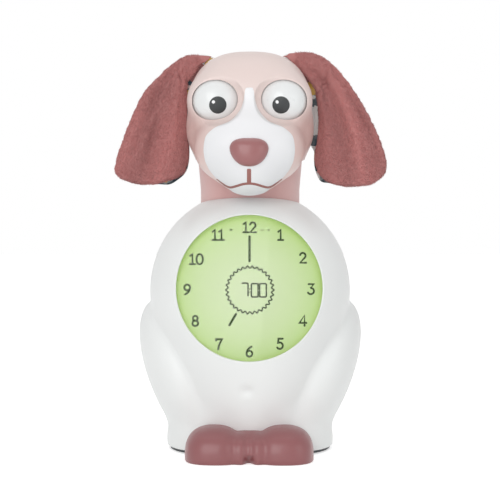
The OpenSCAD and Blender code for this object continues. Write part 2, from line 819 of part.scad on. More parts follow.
module aa_cells() {
    for (i = [-1:1]) along_x(-cell_l / 2, i * cell_pitch, cell_z) {
        color("#4f7f5c") cylinder(r = cell_dia / 2, h = cell_l);
        color(steel) cylinder(r = 2.7, h = cell_l + 1.2);
    }
}

// One coil spring as a swept wire, from the cell's end to the box's wall
module coil(r1, r2, h, turns, wire) {
    steps = 12 * turns;
    rings = [for (i = [0:steps])
        let (t = i / steps, a = 360 * turns * t, r = r1 + (r2 - r1) * t)
        [for (k = [4:-1:0])
            [(r + wire * cos(72 * k)) * cos(a), (r + wire * cos(72 * k)) * sin(a),
                wire + (h - 2 * wire) * t + wire * sin(72 * k)]]];
    skin(rings);
}

module battery_springs() {
    reach = box_in_x - cell_l / 2;
    color(steel) for (i = [-1:1]) translate([-box_in_x, i * cell_pitch, cell_z]) rotate([0, 90, 0])
        coil(4.6, 2.6, reach, 2.5, 0.35);
}

module battery_tabs() {
    reach = box_in_x - cell_l / 2 - 1.2;
    color(steel) for (i = [-1:1]) translate([box_in_x - reach, i * cell_pitch - 4, cell_z - 5])
        difference() {
            cube([reach, 8, 10]);
            translate([0.4, 1, -1]) cube([reach - 0.8, 8, 12]);
        }
}

module battery_door() {
    color(dark_grey) difference() {
        translate([-door_x, -door_y, base_bottom]) cube([2 * door_x, 2 * door_y, door_t]);
        translate([0, door_y - 5, 0]) {
            cylinder(r = screw_r + 0.1, h = 10);
            cylinder(r = head_r + 0.2, h = base_bottom + head_t);
        }
        for (i = [-2:2])
            translate([-9, -door_y + 6 + i * 1.6, 0]) cube([18, 0.7, base_bottom + 0.5]);
    }
}

module door_screw() {
    color(steel) translate([0, door_y - 5, base_bottom]) screw(door_t);
}

module body_screws() {
    color(steel) for (p = body_screw_at)
        along_y(p[0], body_screw_y, p[1]) rotate([180, 0, 0]) translate([0, 0, -head_t]) screw(18);
}

function socket_face_y() = ray_length("body", [0, 0, socket_z], [0, 1, 0], 0) - 0.8;

module power_socket() {
    face = socket_face_y();
    color(black_plastic) difference() {
        union() {
            along_y(0, face - 11, socket_z) cylinder(r = socket_r, h = 11);
            along_y(0, face - 11, socket_z) cylinder(r = socket_r + 1.5, h = 11 - wall - 3);
        }
        along_y(0, face - 9, socket_z) cylinder(r = 2.8, h = 12);
    }
    color(steel) along_y(0, face - 9, socket_z) cylinder(r = 0.8, h = 7);
}

module speaker_frame() {
    color("#45484c") along_y(0, speaker_y, speaker_z) rotate([180, 0, 0]) rotate_extrude()
        polygon([[speaker_r - 2.5, 0], [speaker_r, 0], [speaker_r, 1.2], [speaker_r - 2.3, 1.2],
            [9.5, 6], [9.5, 7.2], [8.2, 7.2], [8.2, 5.4], [speaker_r - 3.4, 0.8]]);
}

module speaker_cone() {
    color("#2f3032") along_y(0, speaker_y, speaker_z) rotate([180, 0, 0]) rotate_extrude()
        polygon([[0, 2.4], [4, 3], [6, 4.8], [speaker_r - 4, 0.6], [speaker_r - 2.5, 0],
            [speaker_r - 4, 0.2], [6.1, 4], [4, 2.4], [0, 1.8]]);
}

module speaker_magnet() {
    color("#55585c") along_y(0, speaker_y - 7.2, speaker_z) rotate([180, 0, 0]) cylinder(r = 11, h = 5);
}

// ---------- controls ----------
module control_panel() {
    color(abs_grey) along_y(0, 0, panel_z) difference() {
        union() {
            translate([0, 0, panel_back]) linear_extrude(panel_t)
                rounded_box(panel_w - 0.3, panel_h - 0.3, panel_round - 0.15);
            translate([0, 0, panel_seat]) linear_extrude(panel_flange_t) panel_outline(0);
        }
        for (b = button_spots()) translate([b[0], -b[1], 30]) {
            cylinder(r = cap_r + gap, h = 40);
            cylinder(r = cap_flange_r + gap, h = panel_back - 30);
        }
        translate([0, -slider_z, panel_y - 5])
            cube([slider_travel + slider_w + 2 * gap, 3, 20], center = true);
        translate([0, -slider_z, panel_back])
            cube([slider_travel + slider_flange_w + 2 * gap, 4, 3.2], center = true);
        for (p = panel_screw_at())
            translate([p[0], panel_z - p[1], 30]) cylinder(r = screw_r + 0.1, h = 40);
        for (x = [-1, 1]) translate([x * board_screw[0], -board_screw[1], panel_seat - 1])
            cylinder(r = screw_r, h = panel_flange_t + 1.5);
    }
}

function button_spots() = [for (z = button_rows, i = [-1:1]) [i * button_pitch, z]];

// One push button at rest: cap, retaining flange and the stem that enters its switch
module button(i, tint) {
    spot = button_spots()[i];
    color(tint) along_y(spot[0], 0, panel_z + spot[1]) {
        translate([0, 0, panel_back - flange_t]) cylinder(r = cap_r, h = panel_t + flange_t + button_out);
        translate([0, 0, panel_back - flange_t - 0.2]) cylinder(r = cap_flange_r, h = flange_t);
        translate([0, 0, switch_y + switch_h - 0.4]) cylinder(r = 1.4, h = panel_back - switch_y - switch_h);
    }
}

module button_set() {
    button(0, "#8fc06a");
}

module button_mode() {
    button(1, plastic_white);
}

module button_up() {
    button(2, plastic_white);
}

module button_down() {
    button(3, plastic_white);
}

module button_light() {
    button(4, "#f0cf62");
}

module button_sound() {
    button(5, plastic_white);
}

module button_board() {
    color(board_green) along_y(0, 0, panel_z) difference() {
        translate([-25, -14, board_y]) cube([50, 28, board_t]);
        for (x = [-1, 1]) translate([x * board_screw[0], -board_screw[1], board_y - 1])
            cylinder(r = screw_r + 0.1, h = 4);
    }
}

module button_switches() {
    color("#222427") {
        for (b = button_spots()) along_y(b[0], switch_y, panel_z + b[1]) difference() {
            translate([-3, -3, 0]) cube([6, 6, switch_h]);
            translate([0, 0, switch_h - 0.5 - button_travel - 0.3]) cylinder(r = 1.65, h = 6);
        }
        translate([-7, switch_y, panel_z + slider_z - 1.9]) cube([14, 2.4, 3.8]);
    }
}

module power_slider() {
    x = -slider_travel / 2;
    color("#303234") translate([x, 0, panel_z + slider_z]) {
        translate([-slider_w / 2, switch_y + 2.6, -1.2])
            cube([slider_w, panel_y + 1 - switch_y - 2.6, 2.4]);
        translate([-slider_flange_w / 2, panel_back - flange_t, -1.7])
            cube([slider_flange_w, flange_t, 3.4]);
    }
}

module panel_screws() {
    color(steel) {
        for (p = panel_screw_at()) along_y(p[0], panel_seat - head_t, p[1]) screw(6);
        for (x = [-1, 1]) {
            along_y(x * board_screw[0], board_y - head_t, panel_z + board_screw[1])
                screw(panel_seat - board_y + head_t + 1);
            along_y(x * board_screw[0], board_y + board_t, panel_z + board_screw[1])
                tube(spacer_r, screw_r, panel_seat - board_y - board_t);
        }
    }
}

// ---------- lift drive ----------
module guide_rods() {
    color(steel) for (x = [-rod_x, rod_x])
        translate([x, neck_y, deck_z]) cylinder(r = rod_r, h = rod_top - deck_z);
}

module lift_motor() {
    color("#8f9398") along_x(plate_right + plate_t, motor_axis[0], motor_axis[1]) {
        cylinder(r = motor_r, h = motor_l);
        translate([0, 0, motor_l - 0.5]) cylinder(r = 2.5, h = 2);
    }
}

module motor_pinion() {
    color(acetal) along_x(gear_x - 0.3, motor_axis[0], motor_axis[1]) {
        rotate([0, 0, motor_angle + 180 + 180 / motor_teeth]) linear_extrude(gear_w + 0.6)
            gear_plan(train_module, motor_teeth);
        cylinder(r = 1, h = plate_right + plate_t - gear_x + 0.1);
    }
}

module lift_gear() {
    color(acetal) {
        along_x(gear_x, lift_axis[0], lift_axis[1]) rotate([0, 0, motor_angle]) linear_extrude(gear_w)
            gear_plan(train_module, wheel_teeth);
        along_x(-rack_w / 2 + 0.2, lift_axis[0], lift_axis[1]) rotate([0, 0, 180])
            linear_extrude(gear_x + rack_w / 2 - 0.1) gear_plan(lift_module, lift_teeth);
        along_x(plate_left - 0.8, lift_axis[0], lift_axis[1])
            cylinder(r = shaft_r, h = plate_right + plate_t + 0.8 - plate_left + 0.8);
    }
}

module lift_platform() {
    low = ledge_z - platform_t;
    color(abs_grey) difference() {
        union() {
            translate([0, neck_y, low]) cylinder(r = neck_r - neck_wall - 0.1, h = platform_t);
            for (x = [-rod_x, rod_x]) translate([x, neck_y, low]) cylinder(r = rod_boss_r, h = 8);
        }
        for (x = [-rod_x, rod_x])
            translate([x, neck_y, low - 1]) cylinder(r = rod_r + shaft_gap, h = 12);
        translate([-eye_rack_w / 2 - gap, eye_rack_y - 1.4, low - 1])
            cube([eye_rack_w + 2 * gap, 8, 6]);
        for (p = platform_screws())
            translate([p[0], p[1], low - 1]) cylinder(r = screw_r + 0.1, h = 6);
        translate([8, neck_y + 2, low - 1]) cylinder(r = 4, h = 6);
    }
}

// Four screws round the neck, just inside its wall
function round_neck(first) =
    let (r = neck_r - neck_wall - head_r - gap)
    [for (a = [first, 180 - first, 180 + first, 360 - first]) [0, neck_y] + r * [cos(a), sin(a)]];

function platform_screws() = round_neck(45);
function neck_screws() = round_neck(30);

module lift_rack() {
    low = 92 - lift_axis[1];
    high = ledge_z - platform_t - lift_axis[1];
    color(acetal) difference() {
        translate([rack_w / 2, lift_rack_y, lift_axis[1]]) rotate([0, -90, 0])
            linear_extrude(rack_w) rack_plan(lift_module, low, high, rack_back);
        translate([0, lift_rack_y - rack_back / 2 - 0.6, ledge_z - platform_t - 6])
            cylinder(r = screw_r - 0.5, h = 10);
    }
}

module eye_rack() {
    low = deck_z - eye_z;
    color(acetal) translate([-eye_rack_w / 2, eye_rack_y, eye_z]) rotate([0, -90, 180])
        linear_extrude(eye_rack_w) intersection() {
            rack_plan(eye_module, -18.5, 8, 5);
            translate([-18.5, -5]) square([40, 10]);
        }
    color(acetal) translate([-eye_rack_w / 2, eye_rack_y + 0.6 * eye_module + 0.6, deck_z])
        cube([eye_rack_w, 4, eye_z - 18.4 - deck_z]);
}

// ---------- neck and head ----------
module neck_tube() {
    inner = neck_r - neck_wall;
    ledge = inner - 4.4;
    ledge_top = ledge_z + 2.2;
    floor_z = neck_top - neck_floor;
    color(plush_rose) difference() {
        translate([0, neck_y, 0]) rotate_extrude($fn = 96) polygon([[inner, neck_bottom],
            [neck_r, neck_bottom], [neck_r, neck_flare_z], [neck_flare_r, neck_top - 2],
            [neck_flare_r, neck_top], [neck_bore, neck_top], [neck_bore, floor_z], [inner, floor_z],
            [inner, ledge_top], [ledge, ledge_top], [ledge, ledge_z], [inner, ledge_z]]);
        for (p = platform_screws())
            translate([p[0], p[1], ledge_z - 1]) cylinder(r = screw_r, h = 5);
        for (p = neck_screws())
            translate([p[0], p[1], neck_top - 6]) cylinder(r = screw_r + 0.1, h = 10);
        for (x = [-rod_x, rod_x])
            translate([x, neck_y, ledge_z - 1]) cylinder(r = rod_boss_r + gap, h = 5);
    }
}

module sink_zone(extra) {
    translate([0, 0, ball_z + lift]) sphere(r = ball_r + head_sink_gap + extra, $fn = 56);
}

module eye_window() {
    both_sides() translate([eye_x, eye_y, eye_z]) rotate([90, 0, 6]) scale([eye_open_w, eye_open_h, 1])
        translate([0, 0, 2]) cylinder(r = 1, h = 30, $fn = 48);
}

module head_blank() {
    difference() {
        head_form();
        difference() {
            head_form(head_wall, 44);
            sink_zone(head_wall);
        }
        sink_zone(0);
        translate([0, neck_y, ball_z]) cylinder(r = neck_flare_r + gap, h = neck_top - ball_z, $fn = 72);
        translate([0, neck_y, ball_z]) cylinder(r = neck_bore + 0.5, h = neck_top - ball_z + 8, $fn = 72);
        both_sides() translate([eye_x, eye_y, eye_z]) sphere(r = eye_r + eye_gap, $fn = 36);
        eye_window();
        both_sides() ear_tab(0.12);
        for (p = neck_screws())
            translate([p[0], p[1], neck_top - 1]) cylinder(r = screw_r + 0.1, h = 6, $fn = 16);
    }
}

module mask_zone(grow) {
    outline = [for (p = mask_edge) [p[0] + grow, p[1]]];
    translate([0, mask_back, 0]) rotate([90, 0, 0]) linear_extrude(60) polygon(concat(
        [for (i = [0:len(outline) - 1]) [outline[i][0], outline[i][1] + (i == 0 ? grow : 0)]],
        [for (i = [len(outline) - 1:-1:0]) [-outline[i][0], outline[i][1] + (i == 0 ? grow : 0)]]));
}

module face_shell() {
    color(plastic_pink) moulded() difference() {
        intersection() {
            head_blank();
            translate([-100, -100, 100]) cube([200, 100 + head_seam_y, 200]);
        }
        mask_zone(0);
    }
}

module muzzle_mask() {
    color("#f3f3f2") moulded() intersection() {
        head_blank();
        mask_zone(-0.1);
        translate([-100, -100, 100]) cube([200, 100 + mask_back - 0.1, 200]);
    }
}

module head_rear_shell() {
    color(plastic_pink) moulded() intersection() {
        head_blank();
        translate([-100, head_seam_y, 100]) cube([200, 100, 200]);
    }
}

module nose() {
    color("#a0686b") moulded() difference() {
        translate(nose_at) hull() {
            for (x = [-5.6, 5.6]) translate([x, 0, 0]) sphere(r = 4.9, $fn = 22);
            scale([1, 1, 0.9]) sphere(r = 5, $fn = 22);
            translate([0, 0.2, -6.4]) scale([1.2, 1, 1]) sphere(r = 4.2, $fn = 22);
        }
        head_form();
    }
}

// Flat plastic tab, clamped in the seam of the two head shells, that holds an ear's root
module ear_tab(grow) {
    t = 2.4 + 2 * grow;
    translate(ear_tab_at) rotate([0, ear_tab_tilt, 0]) {
        translate([-6 - grow, -t / 2, -6 - grow]) cube([15 + 2 * grow, t, 12 + 2 * grow]);
        translate([-6 - grow, -t / 2, -8 - grow]) cube([2 + 2 * grow, t, 16 + 2 * grow]);
    }
}

module ear_clips() {
    color(abs_grey) both_sides() ear_tab(0);
}

function ear_ring(y, s) =
    [for (p = ear_points)
        let (d = [p[0], ear_top + (p[1] - ear_top) * ear_l / ear_span] - ear_middle)
        [ear_middle[0] + d[0] * s, y, ear_middle[1] + d[1] * s]];

module ear_layer(levels) {
    skin([for (l = levels) ear_ring(l[0], l[1])]);
}

module ear_plush() {
    front = ear_y - ear_t / 2;
    back = front + ear_t;
    color(plush_rose) both_sides() moulded() difference() {
        ear_layer([[front, 0.8], [front + 0.12 * ear_t, 0.92], [front + 0.35 * ear_t, 0.985],
            [front + 0.6 * ear_t, 1], [back, 0.985]]);
        ear_tab(0.05);
    }
}

module ear_lining() {
    back = ear_y + ear_t / 2;
    color("#cdb98f") both_sides() moulded()
        ear_layer([[back, 0.975], [back + lining_t / 2, 0.98], [back + lining_t, 0.95]]);
}

module head_frame() {
    top = neck_top + head_wall;
    color(abs_grey) difference() {
        union() {
            translate([0, neck_y, top]) tube(neck_r - neck_wall, neck_r - 10.8, 2.5);
            for (x = [-1, 1]) translate([x > 0 ? post_x : -post_x - post_t, eye_y - 4.5, top])
                cube([post_t, 9, eye_z + 4.5 - top]);
            for (x = [-1, 1]) translate([x > 0 ? post_x : -post_x - post_t, eye_y - 4.5, top])
                cube([post_t, 18, 6]);
            for (x = [-1, 1]) translate([x * 9.4 - 6.6, -16, top]) cube([13.2, 8, 2.5]);
        }
        along_x(-20, eye_y, eye_z) cylinder(r = axle_r + shaft_gap, h = 40);
        translate([-post_x, -25, top - 1]) cube([2 * post_x, 20, 5]);
        for (p = neck_screws()) translate([p[0], p[1], top - 1]) cylinder(r = screw_r, h = 5);
    }
}

module head_screws() {
    color(steel) {
        for (p = neck_screws()) translate([p[0], p[1], neck_top - neck_floor - head_t])
            screw(head_t + neck_floor + head_wall + 2.4);
        for (p = platform_screws()) translate([p[0], p[1], ledge_z - platform_t - head_t])
            screw(head_t + platform_t + 2.1);
    }
}

module eye_axle() {
    color(steel) along_x(-eye_x - 8, eye_y, eye_z) cylinder(r = axle_r, h = 2 * (eye_x + 8));
}

module eye_pinion() {
    w = 2 * post_x - 0.6;
    color(acetal) along_x(-w / 2, eye_y, eye_z) difference() {
        linear_extrude(w) gear_plan(eye_module, eye_teeth);
        translate([0, 0, -1]) cylinder(r = axle_r, h = w + 2);
    }
}

// Sector of a sphere between two angles round X, counted from straight ahead, up positive
module eye_sector(r, from, to) {
    intersection() {
        sphere(r = r, $fn = 72);
        rotate([0, 90, 0]) rotate_extrude(angle = to - from, start = 270 - to)
            translate([0, -r - 1]) square([r + 1, 2 * r + 2]);
    }
}

lid_edge = 52;
lid_end = 157;
lid_t = 1.3;

module eyeballs() {
    color("#f4f5f5") both_sides() translate([eye_x, eye_y, eye_z]) difference() {
        union() {
            sphere(r = eye_r - lid_t, $fn = 72);
            eye_sector(eye_r - 0.2, -60, lid_edge);
        }
        rotate([0, 90, 0]) cylinder(r = axle_r, h = 60, center = true);
    }
}

module eyelids() {
    color(plastic_pink) both_sides() translate([eye_x, eye_y, eye_z]) difference() {
        eye_sector(eye_r, lid_edge + 0.3, lid_end);
        sphere(r = eye_r - lid_t + 0.02, $fn = 72);
        rotate([0, 90, 0]) cylinder(r = axle_r, h = 60, center = true);
    }
}

module pupils() {
    color("#3b3c3e") both_sides() translate([eye_x, eye_y, eye_z]) intersection() {
        difference() {
            sphere(r = eye_r - 0.02, $fn = 72);
            sphere(r = eye_r - 0.2, $fn = 72);
        }
        rotate([90 + 13.2, 0, -5.9]) cylinder(r = pupil_dia / 2, h = 30);
    }
}

front_shell();
rear_shell();
base_plate();
rubber_feet();
front_paws();
display_lens();
lens_gasket();
lcd_panel();
light_guide();
reflector_tray();
lamp_board();
backlight_lamps();
main_board();
board_chips();
display_screws();
chassis();
aa_cells();
battery_springs();
battery_tabs();
battery_door();
door_screw();
base_screws();
body_screws();
control_panel();
panel_screws();
button_board();
button_switches();
button_set();
button_mode();
button_up();
button_down();
button_light();
button_sound();
power_slider();
power_socket();
speaker_frame();
speaker_cone();
speaker_magnet();
guide_rods();
lift_motor();
motor_pinion();
lift_gear();
eye_rack();
neck_tube();
lift_platform();
lift_rack();
head_frame();
head_screws();
face_shell();
head_rear_shell();
muzzle_mask();
nose();
ear_clips();
ear_plush();
ear_lining();
eye_axle();
eye_pinion();
eyeballs();
eyelids();
pupils();
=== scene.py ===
import math

import bmesh
import bpy
import numpy as np
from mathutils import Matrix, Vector


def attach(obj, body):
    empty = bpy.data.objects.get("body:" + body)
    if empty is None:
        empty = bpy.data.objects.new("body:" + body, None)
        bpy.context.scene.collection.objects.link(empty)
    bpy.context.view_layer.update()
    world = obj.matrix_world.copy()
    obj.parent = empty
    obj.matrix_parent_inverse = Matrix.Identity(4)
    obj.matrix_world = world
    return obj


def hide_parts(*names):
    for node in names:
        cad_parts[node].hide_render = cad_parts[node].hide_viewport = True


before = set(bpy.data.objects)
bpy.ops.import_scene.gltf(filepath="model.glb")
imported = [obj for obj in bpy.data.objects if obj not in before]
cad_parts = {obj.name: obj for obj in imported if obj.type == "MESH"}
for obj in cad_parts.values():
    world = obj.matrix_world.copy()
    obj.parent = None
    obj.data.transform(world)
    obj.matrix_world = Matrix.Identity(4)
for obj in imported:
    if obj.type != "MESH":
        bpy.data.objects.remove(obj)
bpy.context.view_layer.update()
mm = 0.001


# shader maths

class Wire:
    # one output socket; arithmetic on it adds Math nodes
    def __init__(self, nodes, socket):
        self.nodes, self.socket = nodes, socket

    def op(self, name, *others, turned=False):
        values = [self, *others]
        if turned:
            values.reverse()
        return self.nodes.node("ShaderNodeMath", {"operation": name}, dict(enumerate(values)))

    def __add__(self, other):
        return self.op("ADD", other)

    def __sub__(self, other):
        return self.op("SUBTRACT", other)

    def __rsub__(self, other):
        return self.op("SUBTRACT", other, turned=True)

    def __mul__(self, other):
        return self.op("MULTIPLY", other)

    def __truediv__(self, other):
        return self.op("DIVIDE", other)

    __radd__ = __add__
    __rmul__ = __mul__


class Nodes:
    # the nodes of a material or a world
    def __init__(self, owner):
        owner.use_nodes = True
        self.tree = owner.node_tree

    def feed(self, socket, value):
        if isinstance(value, Wire):
            self.tree.links.new(value.socket, socket)
        elif isinstance(value, tuple) and len(value) == 3 and socket.type == "RGBA":
            socket.default_value = (*value, 1)
        else:
            socket.default_value = value

    def node(self, kind, settings=None, inputs=None, out=0):
        node = self.tree.nodes.new(kind)
        for key, value in (settings or {}).items():
            if key == "stops":
                while len(node.color_ramp.elements) < len(value):
                    node.color_ramp.elements.new(0.5)
                for element, (spot, colour) in zip(node.color_ramp.elements, value):
                    element.position = spot
                    element.color = (*colour, 1)
            elif key == "interpolation":
                node.color_ramp.interpolation = value
            else:
                setattr(node, key, value)
        for key, value in (inputs or {}).items():
            self.feed(node.inputs[key], value)
        return Wire(self, node.outputs[out])

    def seenBy(self, first, *others):
        # 1 for rays of the kinds named
        seen = self.node("ShaderNodeLightPath", out="Is %s Ray" % first)
        for kind in others:
            ray = self.node("ShaderNodeLightPath", out="Is %s Ray" % kind)
            seen = seen.op("MAXIMUM", ray)
        return seen


class Finish(Nodes):
    # a material with one Principled shader; fixed numbers sit on its own sockets
    def __init__(self, name, **sockets):
        self.material = bpy.data.materials.new(name)
        super().__init__(self.material)
        self.shader = self.tree.nodes["Principled BSDF"]
        self.place = self.node("ShaderNodeTexCoord", out="Object")
        self.set(**sockets)

    def set(self, **sockets):
        for key, value in sockets.items():
            label = key if key.isupper() else "".join(" " + c if c.isupper() else c for c in key)
            label = label.strip()
            self.feed(self.shader.inputs[label], value)
        return self

    def noise(self, scale, detail, roughness=0.5, at=None):
        return self.node("ShaderNodeTexNoise", {"noise_dimensions": "3D"},
                         {"Vector": at or self.place, "Scale": scale, "Detail": detail,
                          "Roughness": roughness})

    def stretch(self, x, y, z):
        return self.node("ShaderNodeMapping", {}, {"Vector": self.place, "Scale": (x, y, z)})

    def axis(self, which):
        return self.node("ShaderNodeSeparateXYZ", {}, {"Vector": self.place}, out=which)

    def ramp(self, factor, stops, steps=False):
        kind = "CONSTANT" if steps else "LINEAR"
        return self.node("ShaderNodeValToRGB", {"stops": stops, "interpolation": kind},
                         {"Fac": factor})

    def mix(self, factor, first, second):
        return self.node("ShaderNodeMix", {"data_type": "RGBA"},
                         {0: factor, 6: first, 7: second}, out=2)

    def remap(self, value, low, high, toLow, toHigh):
        return self.node("ShaderNodeMapRange", {"clamp": True},
                         {"Value": value, "From Min": low, "From Max": high,
                          "To Min": toLow, "To Max": toHigh})

    def bump(self, height, distance):
        self.set(Normal=self.node("ShaderNodeBump", {},
                                  {"Height": height, "Distance": distance * mm,
                                   "Strength": 1.0}))
        return self


def srgb(red, green, blue):
    # screen value 0-255 to linear light
    return tuple(c / 12.92 if c <= 0.04045 else ((c + 0.055) / 1.055) ** 2.4
                 for c in (red / 255, green / 255, blue / 255))


def shade(colour, factor):
    return tuple(min(c * factor, 1) for c in colour)


# forms: distances in millimetres, on whole arrays of points

def ellipsoidDistance(p, centre, radii):
    # k (k - 1) / |q / r| with q the point scaled by the radii and k its length
    q = (p - np.array(centre)) / np.array(radii)
    k = np.linalg.norm(q, axis=-1)
    return k * (k - 1) / np.maximum(np.linalg.norm(q / np.array(radii), axis=-1), 1e-4)


def blendForms(a, b, k):
    # smooth union: the smaller one, less a quarter of k h squared where they are closer than k
    h = np.maximum(k - np.abs(a - b), 0) / k
    return np.minimum(a, b) - h * h * k / 4


def roundConeDistance(p, a, b, r1, r2):
    # two balls and the skin stretched over both
    a, b = np.array(a, float), np.array(b, float)
    ba = b - a
    l2, dr = ba @ ba, r1 - r2
    a2 = l2 - dr * dr
    pa = p - a
    y = pa @ ba
    z = y - l2
    w = pa * l2 - ba * y[..., None]
    x2 = (w * w).sum(-1)
    k = np.sign(dr) * dr * dr * x2
    d = (np.sqrt(x2 * a2 / l2) + y * dr) / l2 - r1
    d = np.where(np.sign(y) * a2 * y * y * l2 < k, np.sqrt(x2 + y * y * l2) / l2 - r1, d)
    return np.where(np.sign(z) * a2 * z * z * l2 > k, np.sqrt(x2 + z * z * l2) / l2 - r2, d)


def fade(x, start, end):
    # 0 up to start, 1 from end on
    return np.clip((x - start) / (end - start), 0, 1)


def smooth(t):
    # 0 to 1 with level ends
    return t * t * (3 - 2 * t)


def fullTurn(count):
    return np.linspace(0, 2 * np.pi, count, endpoint=False)


def above(height):
    return np.array([0, 0, height])


def unit(rows):
    return rows / np.linalg.norm(rows, axis=-1, keepdims=True)


def mirrored(p):
    m = p.copy()
    m[..., 0] = np.abs(m[..., 0])
    return m


body = dict(ballR=58.0, ballZ=91.7, toe=(0, -18, 8), toeR=20.0, rump=((0, 15, 44), (44, 45, 50)),
            haunch=((35.1, 12, 37.6), (22.5, 42, 52.6)), lean=24.9,
            foot=((29.5, -2, 6), (17.2, 26, 14.4)), base=(47.1, 38, 50, 38), bottom=2.2,
            footWall=1.35, wall=2.4, neckR=29.7, seamY=4.0, seamGap=0.08, dimple=(-1.2, 38.8),
            dimpleSize=(3.8, 3.0), dimpleDepth=1.1, columns=320, lowRows=170, topRows=80)
centre = above(body["ballZ"])


def bodyDistance(p):
    # chest, rump, base, haunches and hind feet, blended into one skin
    m = mirrored(p)
    chest = roundConeDistance(p, centre, body["toe"], body["ballR"], body["toeR"])
    back = blendForms(chest, ellipsoidDistance(p, *body["rump"]), 10)
    w, front, rear, h = body["base"]
    plan = (p[..., 0] / w) ** 2 + (p[..., 1] / np.where(p[..., 1] < 0, front, rear)) ** 2
    base = ((plan ** 2 + (p[..., 2] / h) ** 4) ** 0.25 - 1) * front
    based = blendForms(back, base, 6)
    at, radii = body["haunch"]
    c, s = math.cos(math.radians(body["lean"])), math.sin(math.radians(body["lean"]))
    x, z = m[..., 0] - at[0], m[..., 2] - at[2]
    leaned = np.stack([at[0] + x * c - z * s, m[..., 1], at[2] + z * c + x * s], -1)
    hip = ellipsoidDistance(leaned, at, radii)
    d = blendForms(based, hip, 4)
    d = blendForms(d, ellipsoidDistance(m, *body["foot"]), 5)
    u = (p[..., 0] - body["dimple"][0]) / body["dimpleSize"][0]
    v = (p[..., 2] - body["dimple"][1]) / body["dimpleSize"][1]
    return d + body["dimpleDepth"] * np.exp(-u * u - v * v) * (p[..., 1] < -20)


head = dict(skull=((0, 3, 195.5), (35.3, 36.5, 34)), cheek=((0, 5, 182.9), (35.5, 34.4, 26.1)),
            muzzle=((0, -29, 172.5), (30.8, 22, 21.9)), neckY=8.0, collarR=30.6, collarZ=168.5,
            jaw=((0, -36.1, 161.9), (15.1, 13.4, 14.9)), roomR=30.5, boreR=22.5,
            eye=(19, -18, 200.3), browR=16.3, eyeR=15.0, eyeGap=0.25, socketShift=(0.16, 0.18),
            lip=0.7, windowW=12.5, windowH=11.0, windowTurn=6, openSlope=17, openCurve=200,
            openSoft=1.8, raised=0.25, raisedEdge=1.6, wall=2.2, ray=(0, -3, 190), seamY=4.0,
            seamGap=0.06, columns=360, rows=250)
# half widths of the white mask down its height
maskEdge = [(2.1, 206.0), (2.5, 204.9), (2.8, 202.4), (3.3, 199.5), (4.2, 196.7), (5.0, 194.8),
            (6.6, 192.4), (9.1, 189.4), (11.4, 187.6), (15.0, 185.9), (18.6, 184.3),
            (21.6, 182.1), (23.6, 180.0), (24.6, 177.3), (25.2, 171.8), (24.5, 166.3),
            (23.4, 163.4), (21.9, 160.6), (18.6, 156.5), (15.6, 153.9), (12.8, 151.9),
            (10.7, 149.8), (10.0, 147.5), (10.0, 140.0)]


def eyeSpan(m):
    # 1 on the outline of the eye opening, more outside it
    t = math.radians(head["windowTurn"])
    u, v = m[..., 0] - head["eye"][0], m[..., 2] - head["eye"][2]
    return np.hypot((u * math.cos(t) - v * math.sin(t)) / head["windowW"],
                    (u * math.sin(t) + v * math.cos(t)) / head["windowH"])


def headDistance(p):
    # skull, cheeks, nape, muzzle, chin and brows, drawn in towards the ball round each eye
    m = mirrored(p)
    at, r = head["skull"]
    q = np.abs(p - np.array(at))
    plan = ((q[..., 0] / r[0]) ** 2.6 + (q[..., 1] / r[1]) ** 2.6) ** (2.5 / 2.6)
    skull = ((plan + (q[..., 2] / r[2]) ** 2.5) ** (1 / 2.5) - 1) * r[2]
    d = blendForms(skull, ellipsoidDistance(p, *head["cheek"]), 8)
    collar = np.hypot(p[..., 0], p[..., 1] - head["neckY"]) - head["collarR"]
    collar = np.maximum(np.maximum(collar, head["collarZ"] - p[..., 2]),
                        p[..., 2] - head["cheek"][0][2])
    d = blendForms(d, collar, 5)
    d = blendForms(d, ellipsoidDistance(p, *head["muzzle"]), 9)
    d = blendForms(d, ellipsoidDistance(p, *head["jaw"]), 8)
    fromEye = np.linalg.norm(m - np.array(head["eye"]), axis=-1)
    d = blendForms(d, fromEye - head["browR"], 5)
    e = eyeSpan(m)
    reach = (head["eyeR"] + head["lip"] + head["openSlope"] * np.maximum(e - 1, 0)
             + head["openCurve"] * np.maximum(e - 1.2, 0) ** 2)
    limit = np.where(m[..., 1] < head["eye"][1], fromEye - reach, -9)
    return -blendForms(-d, -limit, head["openSoft"])


def maskDistance(p):
    # the white mask stands a little proud of the shell, easing in from its outline
    half, height = np.array([(0.0, 207.2)] + maskEdge)[::-1].T
    fromEdge = np.interp(p[..., 2], height, half) - np.abs(p[..., 0])
    ease = smooth(fade(fromEdge, 0, head["raisedEdge"]))
    return headDistance(p) - head["raised"] * ease * (p[..., 1] < -20)


paws = dict(centre=(0, -40.5, 3), apart=18.0, outer=17.8, inner=14.5, deep=19.5, tall=16.1,
            bridge=(14, 18.6, 13.5), groove=(1.7, 3.0), ridge=(0.5, 1.2), notch=(3.4, 2.2),
            columns=260, rows=80)


